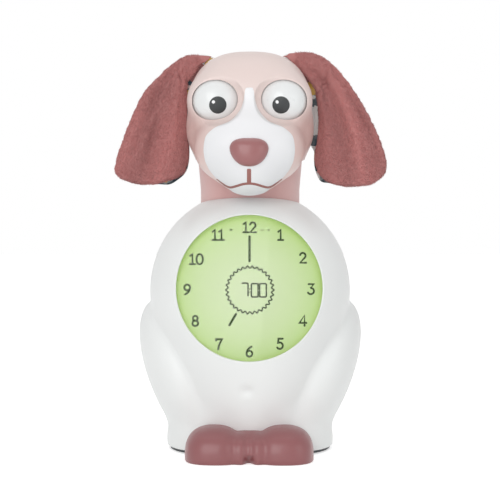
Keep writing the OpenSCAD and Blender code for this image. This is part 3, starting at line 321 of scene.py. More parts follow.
def pawsDistance(p):
    # two squarish lobes and a lower bridge; a shallow groove with a fine ridge parts them in front
    q = p - np.array(paws["centre"])
    x = np.abs(q[..., 0]) - paws["apart"]
    across = np.abs(x) / np.where(x > 0, paws["outer"], paws["inner"])
    lobe = ((across ** 2.6 + np.abs(q[..., 1] / paws["deep"]) ** 2.6
             + np.abs(q[..., 2] / paws["tall"]) ** 2.6) ** (1 / 2.6) - 1) * paws["tall"]
    r = np.array(paws["bridge"])
    bridge = ((np.abs(q / r) ** 3).sum(-1) ** (1 / 3) - 1) * r[2]
    front = fade(q[..., 1], -4, -12)
    groove, ridge, notch = (deep * np.exp(-(q[..., 0] / wide) ** 2)
                            for deep, wide in (paws["groove"], paws["ridge"], paws["notch"]))
    low = fade(q[..., 2], 2.5, -1.5)
    return blendForms(lobe, bridge, 1.5) + (groove - ridge + notch * low) * front


def halve(test, low, high, times):
    # the place between low and high up to which the test holds
    for _ in range(times):
        mid = (low + high) / 2
        held = test(mid)
        low, high = np.where(held, mid, low), np.where(held, high, mid)
    return low


def march(distance, origin, direction, far=96, inset=0.0):
    # the point on each ray at which the form, shrunk by inset, ends
    start = np.zeros(direction.shape[:-1])
    reach = halve(lambda t: distance(origin + direction * t[..., None]) < -inset,
                  start, np.full_like(start, far), 30)
    return origin + direction * reach[..., None]


def curveThrough(points, t):
    # smooth curve at the places t along the points: cubics whose slope at each point is half the
    # step between its neighbours
    p = np.array(points, float)
    k = np.clip(t.astype(int), 0, len(p) - 2)
    f = (t - k)[:, None]
    p0, p1 = p[np.maximum(k - 1, 0)], p[k]
    p2, p3 = p[k + 1], p[np.minimum(k + 2, len(p) - 1)]
    return 0.5 * (2 * p1 + (p2 - p0) * f + (2 * p0 - 5 * p1 + 4 * p2 - p3) * f ** 2
                  + (3 * p1 - p0 - 3 * p2 + p3) * f ** 3)


def headings(columns, rise):
    # unit vectors round Z, the first towards -Y, at an angle of rise above the horizon
    turn = fullTurn(columns)
    turn, rise = np.broadcast_arrays(turn, np.asarray(rise)[..., None])
    return np.stack([np.sin(turn) * np.cos(rise), -np.cos(turn) * np.cos(rise), np.sin(rise)], -1)


# meshes

def pieceFrom(name, points, faces):
    # a new object from points in millimetres; its faces are index tuples
    mesh = bpy.data.meshes.new(name)
    mesh.from_pydata([tuple(p) for p in np.asarray(points) * mm], [], faces)
    mesh.update()
    piece = bpy.data.objects.new(name, mesh)
    bpy.context.scene.collection.objects.link(piece)
    return piece


def gridQuads(i, j, rows, columns):
    # the quads whose first corner is at row i and column j of a grid that joins up with itself
    k, m = (j + 1) % columns, (i + 1) % rows
    quads = np.stack([i * columns + j, i * columns + k, m * columns + k, m * columns + j], -1)
    return [tuple(q) for q in quads.reshape(-1, 4).tolist()]


def skin(name, rings, lowPole=None, highPole=None):
    # closed skin over rings of points, with a flat end or one point at each end
    rows, columns = rings.shape[:2]
    points = [rings.reshape(-1, 3)]
    faces = gridQuads(*np.mgrid[:rows - 1, :columns], rows, columns)
    last = (rows - 1) * columns
    count = rows * columns
    if lowPole is None:
        faces.append(tuple(range(columns - 1, -1, -1)))
    else:
        points.append([lowPole])
        faces += [(count, (c + 1) % columns, c) for c in range(columns)]
        count += 1
    if highPole is None:
        faces.append(tuple(range(last, last + columns)))
    else:
        points.append([highPole])
        faces += [(count, last + c, last + (c + 1) % columns) for c in range(columns)]
    return pieceFrom(name, np.concatenate(points), faces)


def lathe(name, profile, axis, foot, sideways=None, columns=160):
    # a closed profile of (radius, height) turned round an axis through foot
    axis = np.array(axis, float)
    across = np.array(sideways if sideways is not None else (1, 0, 0), float)
    up = np.cross(axis, across)
    profile = np.array(profile, float)
    turn = fullTurn(columns)[None, :, None]
    spoke = np.cos(turn) * across + np.sin(turn) * up
    radius, height = profile[:, :1, None], profile[:, 1:, None]
    ring = radius * spoke + height * axis + np.array(foot)
    if profile[0, 0] == 0:
        return skin(name, ring[1:-1], ring[0, 0], ring[-1, 0])
    rows = len(profile)
    faces = gridQuads(*np.mgrid[:rows, :columns], rows, columns)
    return pieceFrom(name, ring.reshape(-1, 3), faces)


def readPoints(mesh, what="co"):
    data = np.empty(len(mesh.vertices) * 3)
    mesh.vertices.foreach_get(what, data)
    return data.reshape(-1, 3)


def writePoints(mesh, points):
    mesh.vertices.foreach_set("co", points.ravel())
    mesh.update()


def settle(piece):
    # keeps what the modifiers make, and drops them
    graph = bpy.context.evaluated_depsgraph_get()
    mesh = bpy.data.meshes.new_from_object(piece.evaluated_get(graph))
    old = piece.data
    piece.modifiers.clear()
    piece.data = mesh
    mesh.name = piece.name
    bpy.data.meshes.remove(old)
    return piece


def remove(piece):
    mesh = piece.data
    bpy.data.objects.remove(piece)
    bpy.data.meshes.remove(mesh)


def carve(piece, tools, how="DIFFERENCE", keep=False):
    for tool in tools:
        modifier = piece.modifiers.new("carve", "BOOLEAN")
        modifier.solver = "MANIFOLD"
        modifier.operation = how
        modifier.object = tool
    settle(piece)
    if not keep:
        for tool in tools:
            remove(tool)
    return piece


def copyOf(piece, name):
    twin = bpy.data.objects.new(name, piece.data.copy())
    bpy.context.scene.collection.objects.link(twin)
    return twin


def reworked(piece, change):
    work = bmesh.new()
    work.from_mesh(piece.data)
    change(work)
    work.to_mesh(piece.data)
    work.free()
    return piece


def facedOut(piece):
    # all normals outwards, doubles merged
    def change(work):
        bmesh.ops.remove_doubles(work, verts=work.verts, dist=1e-7)
        bmesh.ops.recalc_face_normals(work, faces=work.faces)

    return reworked(piece, change)


def softEdges(piece, limit):
    # smooth shading, with the edges sharper than the limit kept crisp
    def change(work):
        for face in work.faces:
            face.smooth = True
        for edge in work.edges:
            edge.smooth = (len(edge.link_faces) == 2
                           and edge.calc_face_angle(0) < math.radians(limit))

    return reworked(piece, change)


def slab(name, low, high):
    x, y, z = (np.array([low[i], high[i]], float) for i in range(3))
    ring = [(x[0], y[0]), (x[1], y[0]), (x[1], y[1]), (x[0], y[1])]
    return skin(name, np.array([[(*p, h) for p in ring] for h in z]))


def cutAtSeam(front, back, form):
    # two copies of a shell become its halves before and behind the seam
    carve(front, [slab("frontHalf", (-90, -90, -5), (90, form["seamY"] - form["seamGap"], 260))],
          "INTERSECT")
    carve(back, [slab("rearHalf", (-90, form["seamY"] + form["seamGap"], -5), (90, 90, 260))],
          "INTERSECT")


def prism(name, outline, low, high, place):
    # an outline drawn out between two heights; place turns (u, v, height) into X, Y, Z
    rings = [[place(u, v, h) for u, v in outline] for h in (low, high)]
    return facedOut(skin(name, np.array(rings, float)))


def facing(u, v, h):
    # an outline across and up, drawn out along Y
    return u, h, v


def roundedOutline(width, height, radius, steps=10):
    turn = np.radians(np.linspace(0, 90, steps))
    out = []
    for k, (sx, sy) in enumerate(((1, 1), (-1, 1), (-1, -1), (1, -1))):
        a = turn + k * np.pi / 2
        out += list(zip(sx * (width / 2 - radius) + radius * np.cos(a),
                        sy * (height / 2 - radius) + radius * np.sin(a)))
    return out


def dress(piece, finish, onBody, slot, *nodes, soft=None):
    # finish, body, slot (not used) and the replaced nodes; soft is the sharpest edge that is
    # smoothed
    if soft:
        softEdges(piece, soft)
    piece.data.materials.clear()
    piece.data.materials.append(finish.material)
    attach(piece, onBody)
    if nodes:
        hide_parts(*nodes)
    return piece


# finishes

def plastic(name, colour, roughness, coat=0.0, grain=0.012, mottle=0.03, grainScale=1400):
    # moulded plastic: a faint cloudiness in colour and gloss over a very fine skin texture
    f = Finish(name, Roughness=roughness, CoatWeight=coat, CoatRoughness=0.12)
    cloud = f.noise(22, 3)
    f.set(BaseColor=f.mix(cloud, shade(colour, 1 - mottle), shade(colour, 1 + mottle)),
          Roughness=f.remap(f.noise(260, 2), 0.3, 0.7, roughness * 0.9, min(roughness * 1.12, 1)))
    return f.bump(f.noise(grainScale, 2), grain)


def metal(name, colour, roughness, brush=(40, 40, 900)):
    f = Finish(name, Metallic=1.0)
    lines = f.noise(1, 3, at=f.stretch(*brush))
    f.set(BaseColor=f.mix(lines, shade(colour, 0.86), colour),
          Roughness=f.remap(lines, 0.3, 0.7, roughness * 0.7, roughness * 1.3))
    return f.bump(lines, 0.01)


colours = dict(pink=srgb(229, 211, 206), blush=srgb(215, 183, 177), mask=srgb(239, 239, 241),
               maskShadedLow=srgb(229, 230, 232), neck=srgb(221, 187, 184), neckChinShadow=srgb(202, 158, 155),
               plush=srgb(182, 116, 114))


def faceFinish():
    # pale pink plastic, pinker and darker towards the sides and low on the cheeks: partly the
    # shell's own pinker tint, partly painted shade
    f = plastic("paleShell", colours["pink"], 0.45, coat=0.08, mottle=0.02)
    x, z = f.axis("X"), f.axis("Z")
    side = f.remap(x.op("ABSOLUTE"), 15 * mm, 31 * mm, 0, 1)
    low = f.remap(z, 186 * mm, 200 * mm, 1, 0) * f.remap(z, 158 * mm, 170 * mm, 0.2, 1)
    # the sides and lower cheeks take the darker blush tone: painted shade over a pinker tint
    f.set(BaseColor=f.mix(side * low, colours["pink"], colours["blush"]))
    return f


def neckFinish():
    # pink tube, darker across its middle as painted shadow under the chin
    f = plastic("neckTube", colours["neck"], 0.5)
    side = f.remap(f.axis("X").op("ABSOLUTE"), 14 * mm, 28 * mm, 0, 1)
    f.set(BaseColor=f.mix(side, colours["neckChinShadow"], colours["neck"]))
    return f


def maskFinish():
    # white plastic, a little greyer towards the mouth as painted shade
    f = plastic("whiteFace", colours["mask"], 0.42, coat=0.08, mottle=0.015)
    high = f.remap(f.axis("Z"), 165 * mm, 188 * mm, 0, 1)
    f.set(BaseColor=f.mix(high, colours["maskShadedLow"], colours["mask"]))
    return f


# name, screen colour, roughness and what else differs from plain plastic
plastics = {
    "white": ("whiteShell", (237, 239, 238), 0.42, dict(coat=0.12)),
    "rose": ("rosePaint", (153, 98, 98), 0.36, dict(coat=0.25)),
    "pawRose": ("pawPaint", (142, 85, 87), 0.4, dict(coat=0.2, mottle=0.04)),
    # the ear clips are dark rose as painted shadow between the ears and the head
    "earClip": ("earClip", (118, 72, 70), 0.7, {}),
    "mouth": ("mouthPaint", (150, 98, 92), 0.5, {}),
    "eyeWhite": ("eyeWhite", (231, 233, 233), 0.3, dict(coat=0.3, mottle=0.01)),
    "pupil": ("pupilPaint", (50, 53, 54), 0.5, dict(mottle=0.12)),
    # glint: a painted highlight for the lamp's reflection on the eyes
    "glint": ("glintPaint", (250, 250, 250), 0.4, {}),
    "grey": ("greyPlastic", (205, 207, 210), 0.5, dict(grain=0.03)),
    "dark": ("darkPlastic", (58, 59, 62), 0.55, dict(grain=0.04)),
    "rubber": ("blackRubber", (34, 35, 37), 0.8, dict(grain=0.05)),
    "boardGreen": ("boardGreen", (44, 104, 66), 0.4, {}),
    "boardWhite": ("boardWhite", (236, 238, 238), 0.45, {}),
    "chip": ("chipBlack", (38, 39, 41), 0.6, {}),
    "lamp": ("lampYellow", (255, 246, 200), 0.3, {}),
    "acetal": ("creamAcetal", (236, 229, 212), 0.4, {}),
    "tray": ("trayWhite", (245, 245, 243), 0.6, {}),
    "guide": ("lightGuide", (236, 244, 218), 0.3, {}),
    "buttonWhite": ("buttonWhite", (240, 240, 238), 0.4, dict(coat=0.1)),
    "buttonGreen": ("buttonGreen", (150, 196, 112), 0.4, dict(coat=0.1)),
    "buttonYellow": ("buttonYellow", (240, 207, 98), 0.4, dict(coat=0.1)),
    "sleeve": ("cellSleeve", (82, 130, 98), 0.3, dict(coat=0.2)),
    "paper": ("conePaper", (44, 45, 47), 0.85, dict(grain=0.08)),
}
finishes = {key: plastic(name, srgb(*colour), roughness, **more)
            for key, (name, colour, roughness, more) in plastics.items()}
finishes.update(pink=faceFinish(), mask=maskFinish(), neck=neckFinish(),
                steel=metal("brightSteel", srgb(196, 198, 202), 0.28),
                can=metal("motorCan", srgb(170, 173, 178), 0.35),
                speaker=metal("speakerSteel", srgb(92, 95, 100), 0.4))


def paint(finish, *nodeNames):
    for name in nodeNames:
        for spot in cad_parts[name].material_slots:
            spot.material = finish.material


nodesOf = {
    "dark": ["base_plate", "battery_door", "power_slider"],
    "rubber": ["rubber_feet"],
    "grey": ["lens_gasket", "chassis", "control_panel", "lift_platform", "head_frame"],
    "guide": ["light_guide"],
    "tray": ["reflector_tray"],
    "boardWhite": ["lamp_board"],
    "lamp": ["backlight_lamps"],
    "boardGreen": ["main_board", "button_board"],
    "chip": ["board_chips", "button_switches", "power_socket"],
    "steel": ["display_screws", "battery_springs", "battery_tabs", "door_screw", "base_screws",
              "body_screws", "panel_screws", "guide_rods", "head_screws", "eye_axle"],
    "sleeve": ["aa_cells"],
    "buttonGreen": ["button_set"],
    "buttonWhite": ["button_mode", "button_up", "button_down", "button_sound"],
    "buttonYellow": ["button_light"],
    "speaker": ["speaker_frame", "speaker_magnet"],
    "paper": ["speaker_cone"],
    "can": ["lift_motor"],
    "acetal": ["motor_pinion", "lift_gear", "eye_rack", "lift_rack", "eye_pinion"],
    "neck": ["neck_tube"],
    "earClip": ["ear_clips"],
    "eyeWhite": ["eyeballs"],
    "pink": ["eyelids"],
    "pupil": ["pupils"],
}
for key, nodeNames in nodesOf.items():
    paint(finishes[key], *nodeNames)
print("finishes ready")


# display: dial print, glass and glow

dial = dict(tilt=5.5, openR=40.6, recess=2.5, lensT=1.6, gasket=0.6, lcdT=2.2, guideT=2.0,
            trayT=6.4, pocketR=42.35, bossWall=4.4, bossShort=4.0, numeralH=6.1, stroke=1.1,
            inkT=0.05, rimRound=0.6, glowV=-1.2)
dialSine, dialCosine = math.sin(math.radians(dial["tilt"])), math.cos(math.radians(dial["tilt"]))
dialOut = np.array([0, -dialCosine, dialSine])
dialUp = np.array([0, dialSine, dialCosine])
rimD = math.sqrt(body["ballR"] ** 2 - dial["openR"] ** 2)
lensFront = rimD - dial["recess"]
lcdFront = lensFront - dial["lensT"] - dial["gasket"]
bossBack = lcdFront - dial["lcdT"] - dial["guideT"] - dial["trayT"] + dial["bossShort"]


def onDial(u, v, d):
    # across, up and out from the chest's centre, to X, Y, Z
    return centre + u * np.array([1, 0, 0]) + v * dialUp + d * dialOut


def arc(cx, cy, rx, ry, start, end, steps):
    a = np.radians(np.linspace(start, end, steps))
    return list(zip(cx + rx * np.cos(a), cy + ry * np.sin(a)))


# strokes of each numeral in a box one high; the width comes first
numerals = {
    "0": (0.66, [arc(0.33, 0.5, 0.29, 0.46, 90, 450, 40)]),
    "1": (0.5, [[(0.06, 0.8), (0.27, 0.96), (0.27, 0.05)], [(0.04, 0.05), (0.5, 0.05)]]),
    "2": (0.62, [arc(0.3, 0.69, 0.25, 0.26, 165, -35, 20) + [(0.06, 0.05), (0.6, 0.05)]]),
    "3": (0.62, [[(0.08, 0.95), (0.54, 0.95), (0.27, 0.6)]
                 + arc(0.27, 0.32, 0.29, 0.28, 90, -150, 24)]),
    "4": (0.68, [[(0.66, 0.26), (0.04, 0.26), (0.5, 0.95), (0.5, 0.0)]]),
    "5": (0.6, [[(0.54, 0.95), (0.16, 0.95), (0.12, 0.58)]
                + arc(0.27, 0.32, 0.28, 0.29, 105, -145, 24)]),
    "6": (0.64, [arc(0.33, 0.31, 0.26, 0.26, 75, -285, 36),
                 [(0.52, 0.94), (0.34, 0.84), (0.17, 0.66), (0.085, 0.46), (0.07, 0.31)]]),
    "7": (0.62, [[(0.05, 0.83), (0.05, 0.95), (0.58, 0.95), (0.42, 0.66), (0.3, 0.36),
                  (0.24, 0.03)]]),
    "8": (0.62, [arc(0.31, 0.735, 0.21, 0.215, -90, 270, 32),
                 arc(0.31, 0.28, 0.26, 0.24, 90, 450, 36)]),
    "9": (0.64, [arc(0.31, 0.69, 0.26, 0.26, 255, -105, 36),
                 [(0.12, 0.06), (0.3, 0.16), (0.47, 0.34), (0.555, 0.54), (0.57, 0.69)]]),
}


def ribbon(line, width):
    # outline of a stroke: the line shifted both ways along its mitred normals, with round ends
    line = np.array(line, float)
    way = unit(np.diff(line, axis=0))
    side = np.stack([-way[:, 1], way[:, 0]], 1)
    mitre = np.concatenate([side[:1], side[:-1] + side[1:], side[-1:]])
    mitre /= np.maximum((mitre ** 2).sum(1) / np.concatenate([[1], [2] * (len(side) - 1), [1]]),
                        0.55)[:, None]
    half = np.full((len(line), 1), width / 2)
    turn = np.linspace(0, np.pi, 9)[1:-1, None]
    tail = line[-1] + half[-1] * (side[-1] * np.cos(turn) + way[-1] * np.sin(turn))
    nose = line[0] - half[0] * (side[0] * np.cos(turn) + way[0] * np.sin(turn))
    return np.concatenate([line + mitre * half, tail, (line - mitre * half)[::-1], nose])


def strokePrisms(name, strokes, place, low, high):
    # every stroke is a thin closed prism; strips of quads cover its top and bottom
    points, faces = [], []
    for line, width in strokes:
        outline = ribbon(line, width)
        n, start = len(outline), len(points)
        points += [place(u, v, low) for u, v in outline] + [place(u, v, high) for u, v in outline]
        faces += [(start + k, start + (k + 1) % n, start + n + (k + 1) % n, start + n + k)
                  for k in range(n)]
        # the line runs out, round its end and back: the cap pairs both ways
        rows = len(line)
        back = [n - 8 - k for k in range(rows)]
        loop = [(k, k + 1, back[k + 1], back[k]) for k in range(rows - 1)]
        ends = [tuple(range(rows - 1, rows + 8)), tuple([0] + list(range(n - 1, n - 9, -1)))]
        for quad in loop + ends:
            faces.append(tuple(start + q for q in reversed(quad)))
            faces.append(tuple(start + n + q for q in quad))
    return facedOut(pieceFrom(name, np.array(points), faces))


def writeNumber(text, u, v, height):
    # the strokes of a number centred on (u, v)
    gap = 0.1
    widths = [numerals[c][0] for c in text]
    x = -(sum(widths) + gap * (len(text) - 1)) / 2
    strokes = []
    for c, w in zip(text, widths):
        for line in numerals[c][1]:
            strokes.append(([(u + (x + a) * height, v + (b - 0.5) * height) for a, b in line],
                            dial["stroke"]))
        x += w + gap
    return strokes


# where each number's middle stands, from the dial's centre
numeralAt = {"12": (0.1, 33.9), "1": (17.3, 29.6), "2": (29.8, 16.9), "3": (34.4, -0.5),
             "4": (29.7, -17.8), "5": (17.1, -30.8), "6": (0.0, -35.2), "7": (-16.8, -31.1),
             "8": (-30.0, -18.2), "9": (-34.5, -0.8), "10": (-29.5, 16.1), "11": (-17.5, 29.6)}
marks = []
for text, (u, v) in numeralAt.items():
    marks += writeNumber(text, u, v, dial["numeralH"])
minuteHand = [([(0.1, 28.7), (0.1, 22.3)], 1.35), ([(0.1, 21.2), (0.1, 15.1)], 1.35)]
hourHand = [([(-7.45, -14.5), (-11.0, -20.5)], 1.35)]
toothed = dict(at=(0.3, -1.0), teeth=30, low=11.9, high=13.6, stroke=0.72)
ring = []
for k in range(2 * toothed["teeth"]):
    ends = []
    for share in (0.1, 0.9):
        a = (k + share) * math.pi / toothed["teeth"]
        climb = share if k % 2 == 0 else 1 - share
        r = toothed["low"] + (toothed["high"] - toothed["low"]) * climb
        ends.append((toothed["at"][0] + r * math.sin(a), toothed["at"][1] + r * math.cos(a)))
    ring.append((ends, toothed["stroke"]))
digit = dict(height=7.4, width=3.7, stroke=0.85, gap=0.45)


def segment(u, v, names):
    # seven-segment bars: top, middle, bottom and the four uprights, with a gap at the corners
    w, h, c = digit["width"], digit["height"] / 2, digit["gap"]
    bars = {"t": ((c, 2 * h), (w - c, 2 * h)), "m": ((c, h), (w - c, h)),
            "b": ((c, 0), (w - c, 0)),
            "lt": ((0, 2 * h - c), (0, h + c)), "lb": ((0, h - c), (0, c)),
            "rt": ((w, 2 * h - c), (w, h + c)), "rb": ((w, h - c), (w, c))}
    return [([(u + a, v + b) for a, b in bars[name]], digit["stroke"]) for name in names]


clockFace = segment(-4.4, -4.6, ("t", "rt", "rb"))
clockFace += segment(1.15, -4.9, ("t", "b", "lt", "lb", "rt", "rb"))
clockFace += segment(5.75, -4.9, ("t", "b", "lt", "lb", "rt", "rb"))
clockFace += [([(0.1, -0.5), (0.35, -0.5)], 0.6), ([(0.1, -2.2), (0.35, -2.2)], 0.6)]
faint = [([(-10.6, 32.5), (-9.9, 32.5)], 1.1), ([(6.4, 32.4), (7.9, 32.4)], 0.5),
         ([(10.5, 32.4), (10.9, 32.4)], 0.9)]
inkLow, inkHigh = lcdFront + 0.01, lcdFront + 0.01 + dial["inkT"]


def inkFinish(name, colour, strength):
    # printed or switched marks on the lit dial, with a slightly uneven edge tone
    f = Finish(name, Roughness=0.6, EmissionStrength=strength)
    tone = f.noise(900, 2)
    f.set(BaseColor=shade(colour, 0.3), EmissionColor=f.mix(tone, shade(colour, 0.9), colour))
    return f


inks = [("dialPrint", marks + minuteHand + hourHand, "dialInk", (50, 80, 14), 0.4),
        ("dialDigits", ring + clockFace, "dialThinInk", (56, 82, 30), 0.3),
        ("dialFaintMarks", faint, "dialFaintInk", (96, 130, 56), 0.45)]
for name, strokes, inkName, colour, strength in inks:
    dress(strokePrisms(name, strokes, onDial, inkLow, inkHigh),
          inkFinish(inkName, srgb(*colour), strength), "housing", "lcd_green")

glow = Finish("litDial", Roughness=0.5, EmissionStrength=0.6)
glowPlace = glow.node("ShaderNodeVectorMath", {"operation": "DISTANCE"},
                      {0: glow.place, 1: tuple(onDial(0, dial["glowV"], lcdFront) * mm)},
                      out="Value")
glowColour = glow.ramp(glowPlace / (dial["openR"] * mm),
                       [(0.0, srgb(210, 220, 194)), (0.4, srgb(201, 217, 179)),
                        (0.64, srgb(192, 212, 164)), (0.88, srgb(176, 204, 134)),
                        (0.96, srgb(165, 198, 104)), (1.0, srgb(138, 180, 50))])
patchy = glow.noise(60, 2)
glow.set(BaseColor=glow.mix(patchy, srgb(126, 139, 96), srgb(132, 145, 102)),
         EmissionColor=glowColour)
paint(glow, "lcd_panel")
paint(Finish("clearLens", BaseColor=(0.99, 1, 0.99), Roughness=0.03, TransmissionWeight=1.0,
             IOR=1.18), "display_lens")
print("display ready")


# body shells

def bodySkin(name, inset, columns, lowRows, topRows, footInset=(), drop=0.0):
    # level rings up to the chest's middle, then rings that lean to the crown
    low = body["bottom"] + (body["ballZ"] - body["bottom"]) * np.linspace(0, 1, lowRows + 1)[:-1]
    if footInset:
        low = np.concatenate([[body["bottom"] + h for h in (0, 0.25, 0.8)], low[1:]])
    rings = [march(bodyDistance, above(z), headings(columns, 0.0), inset=inset + more)
             for z, more in zip(low, [*footInset, *[0] * len(low)])]
    rings[0] = rings[0] - above(drop)
    rise = np.radians(np.linspace(0, 88.5, topRows))
    rings += list(march(bodyDistance, centre, headings(columns, rise), inset=inset))
    return skin(name, np.array(rings), highPole=centre + above(body["ballR"] - inset))


outer = bodySkin("bodyOuter", 0, body["columns"], body["lowRows"], body["topRows"],
                 footInset=(0.8, 0.25, 0.0))
inner = bodySkin("bodyInner", body["wall"], 128, 60, 26, drop=3)
pawsCutter = copyOf(outer, "pawsCutter")
carve(outer, [inner])

bossR = dial["pocketR"] + dial["bossWall"]
shellR = body["ballR"] + 6
curve = [(r, math.sqrt(shellR ** 2 - r * r)) for r in np.linspace(bossR, dial["openR"] - 2, 8)]
boss = lathe("boss", [(dial["openR"] - 2, bossBack), (bossR, bossBack)] + curve, dialOut, centre)
inside = bodySkin("insideLimit", 0.5, 96, 45, 20, drop=1)
screws = dict(spots=[(-47.5, 95), (47.5, 95), (-38.5, 28), (38.5, 28)], post=3.8, bore=2.8,
              boreY=12, shank=1.36, tipY=-12)
socket = dict(z=15.0, r=4.8, depth=13.0)
beyond = 70  # past the skin, for tools along Y


def rod(name, x, z, yFrom, yTo, radius, columns=28):
    # a cylinder along Y
    return lathe(name, [(0, yFrom), (radius, yFrom), (radius, yTo), (0, yTo)], (0, 1, 0),
                 (x, 0, z), (1, 0, 0), columns)


posts = [rod("post", x, z, -30, 60, screws["post"]) for x, z in screws["spots"]]
panel = dict(w=48.0, h=30.0, r=8.0, rim=2.2, y=50.5, t=2.5,
             screws=[(-14, 19), (14, 19), (-14, -19), (14, -19)])


def panelTool(name, grow, low, high):
    # the control panel's rounded outline, grown by a margin and drawn out along Y
    outline = roundedOutline(panel["w"] + 2 * grow, panel["h"] + 2 * grow,
                             panel["r"] + min(grow, panel["rim"]))
    return prism(name, outline, low, high, lambda u, v, h: (u, h, body["ballZ"] + v))


panelBack = panel["y"] - panel["t"]
framed = panelTool("panelFrame", panel["rim"], panelBack, beyond)
bosses = [rod("panelBoss", x, body["ballZ"] + z, panelBack, beyond, 3)
          for x, z in panel["screws"]]
speaker = dict(z=45.0, y=52.5, r=18.0, hole=1.2, rings=3, spread=0.28)
seat = [(0.3, speaker["y"] - 3.5), (2.2, speaker["y"] - 3.5), (2.2, beyond), (-1.5, beyond),
        (-1.5, speaker["y"]), (0.3, speaker["y"])]
ringWall = lathe("speakerRing", [(speaker["r"] + r, y) for r, y in seat], (0, 1, 0),
                 (0, 0, speaker["z"]), columns=64)
fittings = carve(framed, bosses + posts + [ringWall, boss], "UNION")
carve(fittings, [inside], "INTERSECT")
carve(outer, [fittings], "UNION")

# the opening's rounded edge follows the chest's skin all the way round
turn = fullTurn(256)[:, None]
spoke = np.cos(turn) * np.array([1, 0, 0]) + np.sin(turn) * dialUp
rimOuter = dial["openR"] + dial["rimRound"]
rimFoot = centre + rimOuter * spoke
rimHeight = (march(bodyDistance, rimFoot, np.broadcast_to(dialOut, rimFoot.shape), beyond)
             - rimFoot) @ dialOut
tool = [centre + dial["openR"] * spoke + (lensFront - 1) * dialOut]
for a in np.radians(np.linspace(0, 90, 7)):
    r = dial["openR"] + dial["rimRound"] * (1 - math.cos(a))
    h = rimHeight + 0.02 - dial["rimRound"] * (1 - math.sin(a))
    tool.append(centre + r * spoke + h[:, None] * dialOut)
tool.append(centre + rimOuter * spoke + (beyond + 5) * dialOut)
opening = facedOut(skin("opening", np.array(tool)))
pocket = lathe("pocket", [(0, bossBack - 20), (dial["pocketR"], bossBack - 20),
                          (dial["pocketR"], lensFront), (0, lensFront)], dialOut, centre,
               columns=128)
neckHole = lathe("neckHole", [(0, body["ballZ"]), (body["neckR"], body["ballZ"]),
                              (body["neckR"], 170), (0, 170)],
                 (0, 0, 1), (0, head["neckY"], 0), columns=192)
window = panelTool("panelWindow", 0, panelBack - 20, beyond + 10)
room = panelTool("panelRoom", panel["rim"] + 0.1, panelBack - 20, panelBack)
skinY = march(bodyDistance, above(socket["z"]), np.array([[0, 1.0, 0]]))[0, 1]
holes = [rod("socketHole", 0, socket["z"], skinY - socket["depth"], beyond + 5, socket["r"], 48)]
for circle in range(speaker["rings"]):
    for k in range(max(circle * 6, 1)):
        a = math.radians(60 * k / max(circle, 1))
        r = speaker["r"] * speaker["spread"] * circle
        holes.append(rod("speakerHole", r * math.cos(a), speaker["z"] + r * math.sin(a),
                         speaker["y"], beyond + 5, speaker["hole"], 20))
holes += [rod("counterbore", x, z, screws["boreY"], beyond, screws["bore"])
          for x, z in screws["spots"]]
holes += [rod("screwShank", x, z, screws["tipY"], screws["boreY"] + 1, screws["shank"], 20)
          for x, z in screws["spots"]]
carve(outer, [opening, pocket, neckHole, window, room] + holes)

# room for the base plate's rim inside the shells' foot
footRing = march(bodyDistance, above(3.0), headings(192, 0.0),
                 inset=body["footWall"])
carve(outer, [skin("footRoom", np.array([footRing - above(4), footRing + above(0.05)]))])
rear = copyOf(outer, "rearShell")
cutAtSeam(outer, rear, body)
outer.name = outer.data.name = "frontShell"
dress(outer, finishes["white"], "housing", "white_shell", "front_shell", soft=32)
dress(rear, finishes["white"], "housing", "white_shell", "rear_shell", soft=32)
print("body ready")

# paws

pawCentre = np.array(paws["centre"], float)
low = pawCentre - above(1.4)
pawRings = [march(pawsDistance, low, headings(paws["columns"], 0.0), 60, inset) - above(drop)
            for inset, drop in ((1.2, 1.6), (0.35, 1.35), (0.0, 0.8))]
pawRise = np.radians(np.linspace(0, 88, paws["rows"]))
pawRings += list(march(pawsDistance, pawCentre, headings(paws["columns"], pawRise), 60))
pawTop = march(pawsDistance, pawCentre, np.array([[0, 0, 1.0]]), 60)[0]
pawPair = skin("frontPaws", np.array(pawRings), highPole=pawTop)
carve(pawPair, [pawsCutter])
dress(pawPair, finishes["pawRose"], "housing", "rose_gloss", "front_paws", soft=50)
print("paws ready")


# head

def headSkin(name, inset, columns, rows, distance=headDistance):
    rise = np.radians(np.linspace(-90, 90, rows + 1)[1:-1])
    at = np.array(head["ray"], float)
    rings = march(distance, at, headings(columns, rise), inset=inset)
    poles = march(distance, at, np.array([[0, 0, -1.0], [0, 0, 1.0]]), inset=inset)
    return skin(name, rings, *poles)


def ball(name, at, radius, columns=96, rows=48):
    rise = np.radians(np.linspace(-90, 90, rows + 1)[1:-1])
    spots = headings(columns, rise) * radius
    pole = above(radius)
    return skin(name, spots + np.array(at), np.array(at) - pole, np.array(at) + pole)


skull = headSkin("skull", 0, head["columns"], head["rows"])
muzzle = headSkin("whiteMuzzle", 0, head["columns"], head["rows"], maskDistance)
cavity = headSkin("cavity", head["wall"], 96, 64)
# the head comes down 10 mm over the chest's crown, with 0.9 mm to spare
sinkAt = (0, 0, body["ballZ"] + 10)
sinkR = body["ballR"] + 0.9
carve(cavity, [ball("sinkLimit", sinkAt, sinkR + head["wall"])])
ex, ey, ez = head["eye"]


def eyeOutline(side, steps=72):
    # an ellipse that is fuller towards its outer end and its lower outer corner
    a = fullTurn(steps)
    corner = np.exp(-((a - math.radians(315)) / 0.55) ** 2)
    full = 1 + 0.06 * corner + 0.06 * np.maximum(np.cos(a), 0)
    u = head["windowW"] * full * np.cos(a)
    v = head["windowH"] * full * np.sin(a)
    t = math.radians(head["windowTurn"])
    return list(zip(side * (ex + u * math.cos(t) + v * math.sin(t)),
                    ez - u * math.sin(t) + v * math.cos(t)))


